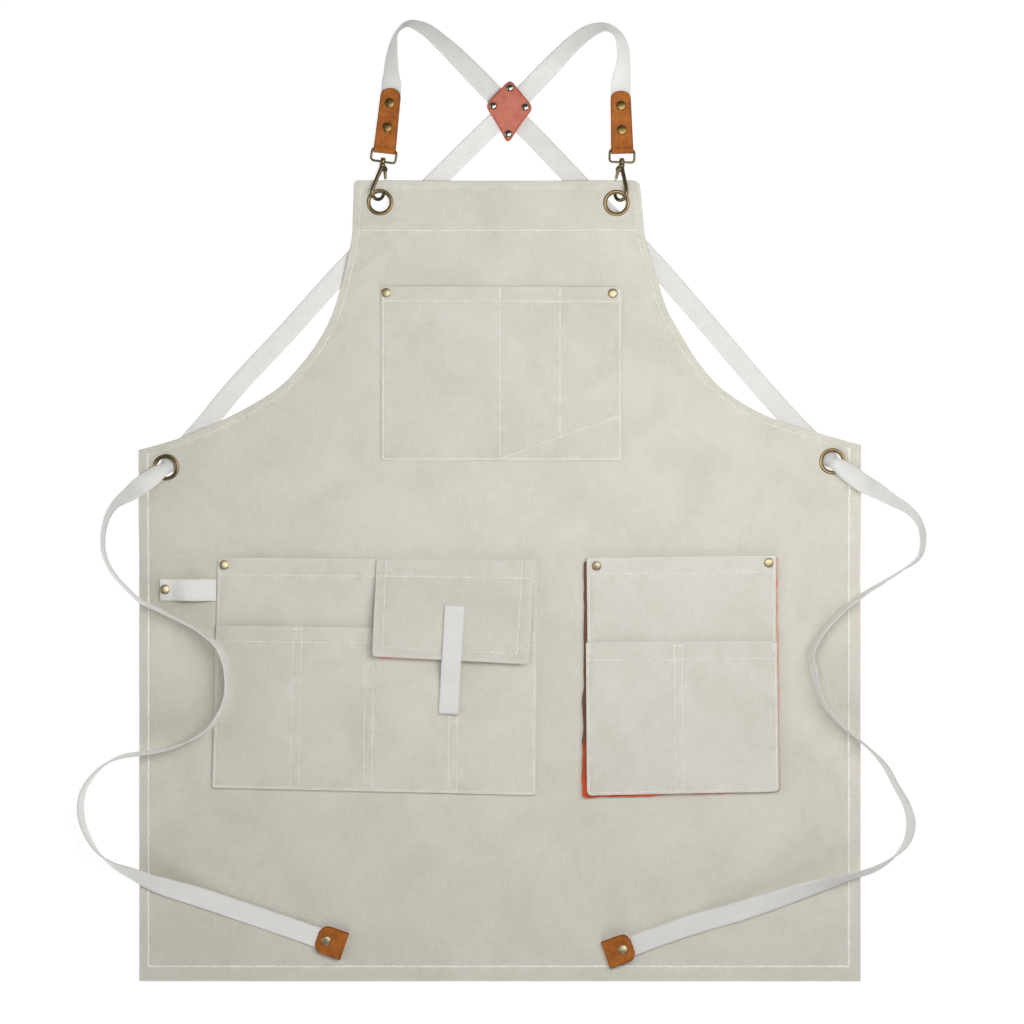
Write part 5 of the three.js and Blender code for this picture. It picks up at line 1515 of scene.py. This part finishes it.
def grommet(name, a, d):
    top = float(body_top(a, d)) + 0.2
    low = float(body_under(a, d)) - 0.2
    arc = [(11.75 + 1.5 * math.cos(t), top + 0.05 + 1.15 * math.sin(t)) for t in np.radians([0, 20, 40, 60, 80, 100, 120, 140, 160])]
    lip = [(9.85 + 0.6 * math.cos(t), top + 0.55 + 0.75 * math.sin(t)) for t in np.radians([20, 55, 90, 125, 160, 180])]
    profile = [(BORE, low - 0.3), (BORE + 0.25, low - 0.7), (BORE + 0.8, low - 0.8), (11.3, low - 0.55), (12.5, low - 0.2),
               (12.8, low), (BARREL, low), (BARREL, top), (FLANGE - 0.1, top), *arc, *lip, (BORE, top + 0.2)]
    sides = 72
    ring = np.asarray(profile)
    turn = np.arange(sides) * 2 * math.pi / sides
    points = np.stack([(ring[:, 0, None] * np.cos(turn)).ravel(), (ring[:, 0, None] * np.sin(turn)).ravel(), np.repeat(ring[:, 1], sides)], axis=1)
    quads = grid_faces(len(ring), sides, wrap=True)
    i = np.arange(sides)
    n = (i + 1) % sides
    last = (len(ring) - 1) * sides
    quads = np.vstack([quads, np.stack([last + i, last + n, n, i], axis=1)])
    r, z = np.hypot(points[:, 0], points[:, 1]), points[:, 2]
    hollow = np.clip(1 - np.abs(r - 10.45) / 0.35, 0, 1) * (z > top) + 0.8 * np.clip(1 - (r - BORE) / 0.35, 0, 1) + 0.6 * np.clip((r - 12.9) / 0.3, 0, 1)
    hardware(name + "_ring", turned(on_sheet(a, d), points), [quads], BRASS, "antique_brass", name, values={"hollow": np.clip(hollow, 0, 1)}, sharp=70)


for name, (a, d) in GROMMETS.items():
    grommet(name, a, d)


def bent_strip(path, half, thick, q=None):
    """A strip of leather along a path of (along, height); half is its half width at each point."""
    path = np.asarray(path, float)
    q = np.array([-1, -0.985, -0.95, -0.88, -0.7, -0.45, -0.2, 0, 0.2, 0.45, 0.7, 0.88, 0.95, 0.985, 1]) if q is None else q
    step = np.gradient(path, axis=0)
    step /= np.linalg.norm(step, axis=1)[:, None]
    normal = np.column_stack([-step[:, 1], step[:, 0]])
    reach = np.concatenate([[0], np.cumsum(np.linalg.norm(np.diff(path, axis=0), axis=1))])
    from_end = np.minimum(reach, reach[-1] - reach)
    points, edge = [], []
    for k in range(len(path)):
        w = half[k]
        border = np.minimum((1 - np.abs(q)) * w, from_end[k] + 0 * q)
        t = thick / 2 * (1 - 0.5 * np.clip(1 - border / 0.8, 0, 1) ** 2)
        dome = 0.1 * (1 - q ** 2)
        for sign, order in ((1, 1), (-1, -1)):
            off = sign * t + dome
            line = np.column_stack([q * w, path[k, 0] + normal[k, 0] * off, path[k, 1] + normal[k, 1] * off])
            points.append(line[::order])
            edge.append(np.clip(1 - border / 1.5, 0, 1)[::order])
    ring = 2 * len(q)
    quads = grid_faces(len(path), ring, wrap=True)
    k = np.arange(len(q) - 1)
    first = np.stack([k + 1, k, ring - 1 - k, ring - 2 - k], axis=1)
    quads = np.concatenate([quads, first, first[:, ::-1] + (len(path) - 1) * ring])
    return np.concatenate(points), quads, np.concatenate(edge)


def round_end(along, length, half, r):
    x = np.clip((along - (length - r)) / r, 0, 1)
    return half - r + r * np.sqrt(np.clip(1 - x * x, 0, 1))


def steps_to_end(start, length, r, count):
    """Places along a leaf of leather, closer together at its round end."""
    straight = np.linspace(start, length - r, count)
    return np.concatenate([straight, length - r + r * np.sin(np.radians([14, 28, 42, 54, 64, 72, 79, 84, 88, 90]))])


def shoulder_tab(name, group, length):
    inner = WEB_THICK / 2 + GAP
    mid = inner + LEATHER / 2
    leaf = steps_to_end(6.0, length, 8.4, 26)
    half_at = lambda y: 11.15 - 1.0 * np.clip(y / (length - 8), 0, 1) ** 0.8
    bend = np.radians(np.linspace(52, 308, 22))
    loop = np.column_stack([3.05 * np.cos(bend), 3.05 * np.sin(bend)])
    slack = lambda y: mid + 0.25 * np.exp(-((y - 14) / 9) ** 2)
    upper = np.column_stack([leaf[::-1], slack(leaf[::-1])])
    lower = np.column_stack([leaf, -np.full(len(leaf), mid)])
    path = np.vstack([upper, [(4.0, 2.35)], loop, [(4.0, -2.35)], lower])
    tip = round_end(leaf, length, 1.0, 0.999)
    width = half_at(leaf)
    over = np.clip((leaf - (length - 8.4)) / 8.4, 0, 1)
    width = width - 8.4 * (1 - np.sqrt(np.clip(1 - over ** 2, 0, 1))) * (width / 9.2)
    width = np.maximum(width, 0.5)
    half = np.concatenate([width[::-1], [11.1], np.full(len(loop), 11.0), [11.1], width])
    points, quads, edge = bent_strip(path, half, LEATHER)
    thing = build_here(name + "_leather", turned(group, points) / 1000, [quads], BROWN, values={"edge": edge}, sharp=50)
    return show(thing, "leather", name)


def tie_cap(name, group):
    inner = WEB_THICK / 2 + GAP
    mid = inner + LEATHER / 2
    outer = inner + LEATHER
    leaf = steps_to_end(outer + 0.6, CAP_LENGTH, 9, 14)
    bend = np.radians(np.linspace(90, 270, 16))
    loop = np.column_stack([outer + mid * np.cos(bend), mid * np.sin(bend)])
    path = np.vstack([np.column_stack([leaf[::-1], np.full(len(leaf), mid)]), loop, np.column_stack([leaf, np.full(len(leaf), -mid)])])
    over = np.clip((leaf - (CAP_LENGTH - 9)) / 9, 0, 1)
    width = CAP_WIDTH / 2 - 9 * (1 - np.sqrt(np.clip(1 - over ** 2, 0, 1)))
    half = np.concatenate([width[::-1], np.full(len(loop), CAP_WIDTH / 2), width])
    points, quads, edge = bent_strip(path, half, LEATHER)
    thing = build_here(name + "_leather", turned(group, points) / 1000, [quads], BROWN, values={"edge": edge}, sharp=50)
    return show(thing, "leather", name)


def hook(side):
    """Points and faces of the eye, the hook and the gate, each in its own frame."""
    # eye: a ring bent from flat bar, with the boss that the post turns in
    x, y0, y1, r = 13.6 - 1.2, -1.5 + 1.2, 13.4 - 1.2, 3.0
    corners = [((x - r, y0 + r), -90, 4.4), ((x - r, y1 - r), 0, r), ((-x + r, y1 - r), 90, r), ((-x + r, y0 + r), 180, 4.4)]
    loop = []
    for (cx, cy), start, _ in corners:
        for t in np.radians(np.linspace(start, start + 90, 8)):
            loop.append((cx + r * math.cos(t), cy + r * math.sin(t), 0))
    loop = np.array(loop)
    dense = evenly(np.vstack([loop, loop[:1]]), 1.3)[:-1]
    eye = Batch()
    eye.add(*tube(dense, 1.2, 14, closed=True))
    boss, quads, fans = lathe([(1.6, -1.9), (2.5, -1.9), (2.75, -1.65), (2.8, -1.0), (2.8, 1.0), (2.75, 1.65), (2.5, 1.9), (1.6, 1.9)], 28)
    i = np.arange(28)
    n = (i + 1) % 28
    quads = np.vstack([quads, np.stack([7 * 28 + i, 7 * 28 + n, n, i], axis=1)])
    eye.add(boss[:, [0, 2, 1]] * np.array([1, 1, -1]), quads)

    # hook: post with its head, arm bent to a J, cheeks for the gate
    body = Batch()
    post, quads, fans = lathe([(0, -6.5), (1.2, -6.4), (1.9, -6.1), (2.6, -5.4), (3.0, -4.4), (3.05, -3.4), (2.85, -2.6), (2.5, -2.25), (1.25, -2.25),
                               (1.25, 2.25), (2.35, 2.25), (2.55, 2.5), (2.5, 2.95), (2.1, 3.6), (1.2, 3.95), (0, 4.05)], 28)
    body.add(post[:, [0, 2, 1]] * np.array([1, 1, -1]), quads, fans)
    arm = [(0, -5), (-1.5, -9.6), (-3.3, -15.2), (-5.0, -20.8), (-6.5, -26.5)]
    arm += [(7.2 * math.cos(t), -31.3 + 7.2 * math.sin(t)) for t in np.radians(np.linspace(180, 360, 9))]
    arm += [(7.2, -24), (7.2, -17.6)]
    path = evenly(catmull([(-side * ax, ay) for ax, ay in arm], 8), 0.9)
    long = np.linspace(0, 1, len(path))
    thick = np.interp(long, [0, 0.1, 0.3, 0.75, 0.95, 1], [2.3, 2.2, 1.95, 1.75, 1.65, 1.3])
    body.add(*tube(np.column_stack([path, np.zeros(len(path))]), thick, 16))
    cheek = np.array([(-1.5, -3.6), (2.4, -3.6), (5.7, -6.4), (5.6, -8.9), (3.6, -9.6), (0, -8.6), (-1.7, -7)], float)
    cheek = evenly(catmull(np.vstack([cheek, cheek[:1]]), 5), 0.8)[:-1] * np.array([-side, 1])
    for z0, z1 in ((-2.3, -1.45), (1.45, 2.3)):
        middle = cheek.mean(axis=0)
        rings = [(0.9, z0), (0.985, z0 + 0.06), (1.0, z0 + 0.2), (1.0, z1 - 0.2), (0.985, z1 - 0.06), (0.9, z1)]
        points = np.concatenate([np.column_stack([middle + (cheek - middle) * s, np.full(len(cheek), z)]) for s, z in rings])
        n = len(cheek)
        k = np.arange(n)
        m = (k + 1) % n
        points = np.vstack([points, [*middle, z0], [*middle, z1]])
        fans = np.concatenate([np.stack([np.full(n, len(points) - 2), m, k], axis=1), np.stack([np.full(n, len(points) - 1), 5 * n + k, 5 * n + m], axis=1)])
        quads = grid_faces(6, n, wrap=True)
        if side > 0:
            quads, fans = quads[:, ::-1], fans[:, ::-1]
        body.add(points, quads, fans)

    # gate: knuckle with its pin, and the bar that closes against the nose
    gate = Batch()
    for r, h in ((1.8, 1.15), (0.8, 2.15)):
        knuckle, quads, fans = lathe([(0, -h), (r * 0.85, -h), (r, -h + 0.15), (r, h - 0.15), (r * 0.85, h), (0, h)], 24)
        gate.add(knuckle, quads, fans)
    pivot = np.array([-side * 4.2, -7.6, 0])
    tip = np.array([-side * 6.6, -16.4, 0]) - pivot
    t = np.linspace(0, 1, 9)[:, None]
    gate.add(*tube(tip * t, np.interp(t[:, 0], [0, 0.25, 0.8, 1], [1.9, 1.8, 1.5, 1.3]), 14))
    return eye, body, gate, pivot


tab_groups = {}
for name, across, down, hook_lean, tab_lean, length, rivets, side in SHOULDERS:
    hang = on_sheet(across, down, HOOK_HEIGHT) @ spin("z", hook_lean) @ spin("x", PITCH)
    rolled = hang @ spin("y", -side * ROLL)
    eye, hook_body, gate, pivot = hook(side)
    for batch, group, part, on in ((eye, hang, "hook_eye", "apron"), (hook_body, rolled, "hook_body", "apron"),
                                   (gate, rolled @ shift(*pivot), "hook_gate", f"gate_{name}")):
        points, faces = batch.arrays()
        # painted shade: each piece of the hook darkens towards its lower side, which faces the cloth
        hollow = 0.35 * np.clip(-points[:, 2] / 2.4, 0, 1)
        hardware(f"{part}_{name}_metal", turned(group, points), faces, DARK_BRASS, "antique_brass", f"{part}_{name}", body=on,
                 values={"hollow": hollow}, sharp=45)
    start = (hang @ np.array([0, EYE_ALONG, 0, 1]))[:3]
    dip = math.degrees(math.asin((TAB_END_HEIGHT - start[2]) / length))
    tab = shift(*start) @ spin("z", tab_lean) @ spin("x", dip)
    shoulder_tab(f"shoulder_tab_{name}", tab, length)
    outer = WEB_THICK / 2 + GAP + LEATHER
    for k, along in enumerate(rivets):
        rivet(f"rivet_tab_{name}_{k + 1}", tab @ shift(0, along, 0), 4.8, 1.5, outer + 0.25, -outer + 0.1, DULL_BRASS, "antique_brass")

tie_pieces = {}
for name, across, down, turn, along in TIE_CAPS:
    group = on_sheet(across, down, CAP_HEIGHT) @ spin("z", turn)
    outer = WEB_THICK / 2 + GAP + LEATHER
    tie_pieces[name] = [tie_cap(f"tie_cap_{name}", group),
                        rivet(f"rivet_tie_{name}", group @ shift(0, along, 0) @ askew(0, 6 if name == "left" else -11, outer + 0.1), 4.8, 1.6, outer + 0.1, -outer + 0.1, BRASS_PAINTED_BRIGHT, "antique_brass")]


# --------------------------------------------------------------- crossing patch
def make_patch():
    corners = np.array(PATCH, float)
    outline = []
    for k in range(4):
        here, before, after = corners[k], corners[k - 1], corners[(k + 1) % 4]
        cut = 6.2
        p = here + (before - here) / np.linalg.norm(before - here) * cut
        q = here + (after - here) / np.linalg.norm(after - here) * cut
        t = np.linspace(0, 1, 10)[:, None]
        outline.append((1 - t) ** 2 * p + 2 * t * (1 - t) * here + t ** 2 * q)
    outline = np.concatenate(outline)
    outline = evenly(np.vstack([outline, outline[:1]]), 1.1)[:-1]
    middle = np.array([509.2, 108.5])
    # the two lower sides pull in a little
    rel = outline - middle
    low = np.clip((outline[:, 1] - 112) / 30, 0, 1)
    rel[:, 0] *= 1 - 0.07 * np.sin(math.pi * np.clip(low, 0, 1)) ** 1.2
    n = len(rel)
    rings = [(0.02, 0), (0.25, 0), (0.5, 0), (0.72, 0), (0.86, 0), (0.93, 0.02), (0.965, 0.14), (0.985, 0.34), (0.997, 0.66), (1.0, 0.95),
             (1.0, 1.25), (0.99, 1.7), (0.96, 1.95), (0.6, 2.0), (0.02, 2.0)]
    points, edge = [], []
    for s, drop in rings:
        xy = middle + rel * s
        far = np.hypot(xy[:, 0] - 509, xy[:, 1] - 110)
        bow = 0.5 * np.exp(-(far / 14) ** 2) - 0.9 * np.clip((far - 14) / 20, 0, 1) ** 1.5
        points.append(np.column_stack([xy, PATCH_UNDER + PATCH_THICK + bow - drop]))
        edge.append(np.full(n, np.clip((s - 0.88) / 0.1, 0, 1)))
    points = np.concatenate(points)
    edge = np.concatenate(edge)
    quads = grid_faces(len(rings), n, wrap=True)
    k = np.arange(n)
    m = (k + 1) % n
    last = (len(rings) - 1) * n
    points = np.vstack([points, points[:n].mean(axis=0), points[last:last + n].mean(axis=0)])
    edge = np.append(edge, [0, 0])
    fans = np.concatenate([np.stack([np.full(n, len(points) - 2), m, k], axis=1), np.stack([np.full(n, len(points) - 1), last + k, last + m], axis=1)])
    return show(build("cross_patch_leather", points, [quads, fans], SALMON, values={"edge": edge}), "patch_leather", "cross_patch")


patch = make_patch()
patch_studs = []
for k, (a, d) in enumerate(PATCH_RIVETS):
    far = math.hypot(a - 509, d - 110)
    bow = 0.5 * math.exp(-(far / 14) ** 2) - 0.9 * max(0, (far - 14) / 20) ** 1.5
    patch_studs.append(rivet(f"rivet_patch_{k + 1}", on_sheet(a, d), 3.8, 2.4, PATCH_UNDER + PATCH_THICK + bow - 0.05, 3.2, NICKEL, "stud_metal"))

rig.cord(strap_left, exit=line_left[0].tolist(), length=round(long_of(line_left), 3), diameter=0.020, far_end="fitting",
        stiffness="limp", lay="loose", path=line_left.tolist(), with_pieces=tie_pieces["right"])
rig.cord(strap_right, exit=line_right[0].tolist(), length=round(long_of(line_right), 3), diameter=0.020, far_end="fitting",
        stiffness="limp", lay="loose", path=line_right.tolist(), with_pieces=tie_pieces["left"])


# -------------------------------------------------------------- floor and light
def make_floor():
    look = Look("floor_paper", roughness=0.9, specular=0.05)
    cloud = look.noise(look.place(), 1.5, 2)
    shade = look.ramp(cloud, [(0.3, (0.32, 0.32, 0.32, 1)), (0.7, (0.34, 0.34, 0.34, 1))])
    look.finish(shade)
    look.shader.inputs["Emission Color"].default_value = (1, 1, 1, 1)
    look.shader.inputs["Emission Strength"].default_value = 0.79
    size = 6.0
    mesh = bpy.data.meshes.new("floor")
    mesh.from_pydata([(-size, -size, -0.0004), (size, -size, -0.0004), (size, size, -0.0004), (-size, size, -0.0004)], [], [(0, 1, 2, 3)])
    mesh.materials.append(look.material)
    floor = bpy.data.objects.new("floor", mesh)
    bpy.context.scene.collection.objects.link(floor)
    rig.stage(floor)


def lamp(name, where, aim, size, power, colour=(1, 1, 1)):
    data = bpy.data.lights.new(name, "AREA")
    data.shape = "SQUARE"
    data.size = size
    data.energy = power
    data.color = colour
    thing = bpy.data.objects.new(name, data)
    bpy.context.scene.collection.objects.link(thing)
    thing.location = where
    thing.rotation_euler = (Vector(aim) - Vector(where)).to_track_quat("-Z", "Y").to_euler()
    thing.visible_camera = False


def light_up():
    world = bpy.data.worlds.new("studio")
    world.use_nodes = True
    back = next(n for n in world.node_tree.nodes if n.type == "BACKGROUND")
    back.inputs["Color"].default_value = (1, 1, 1, 1)
    back.inputs["Strength"].default_value = 0.15
    bpy.context.scene.world = world
    lamp("key", (1.11, 0.44, 1.38), (0, 0.1, 0), 0.9, 9.9)
    lamp("top", (0.17, 0.22, 0.93), (0.17, 0.219, 0), 0.6, 5.0)
    lamp("fill", (-2.15, 0, 0.93), (0, 0.1, 0), 1.4, 14.6)
    lamp("front", (-0.06, -2.7, 1.17), (0, 0.1, 0), 1.4, 22.3)
    bpy.context.scene.view_settings.view_transform = "Standard"
    bpy.context.scene.view_settings.look = "None"


make_floor()
light_up()

box = lambda b: [[float(x) for x in corner] for corner in b]
with open("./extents.json", "w") as out:
    json.dump({"cad": box(CAD_BOX), "visual": box(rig.bounds())}, out)
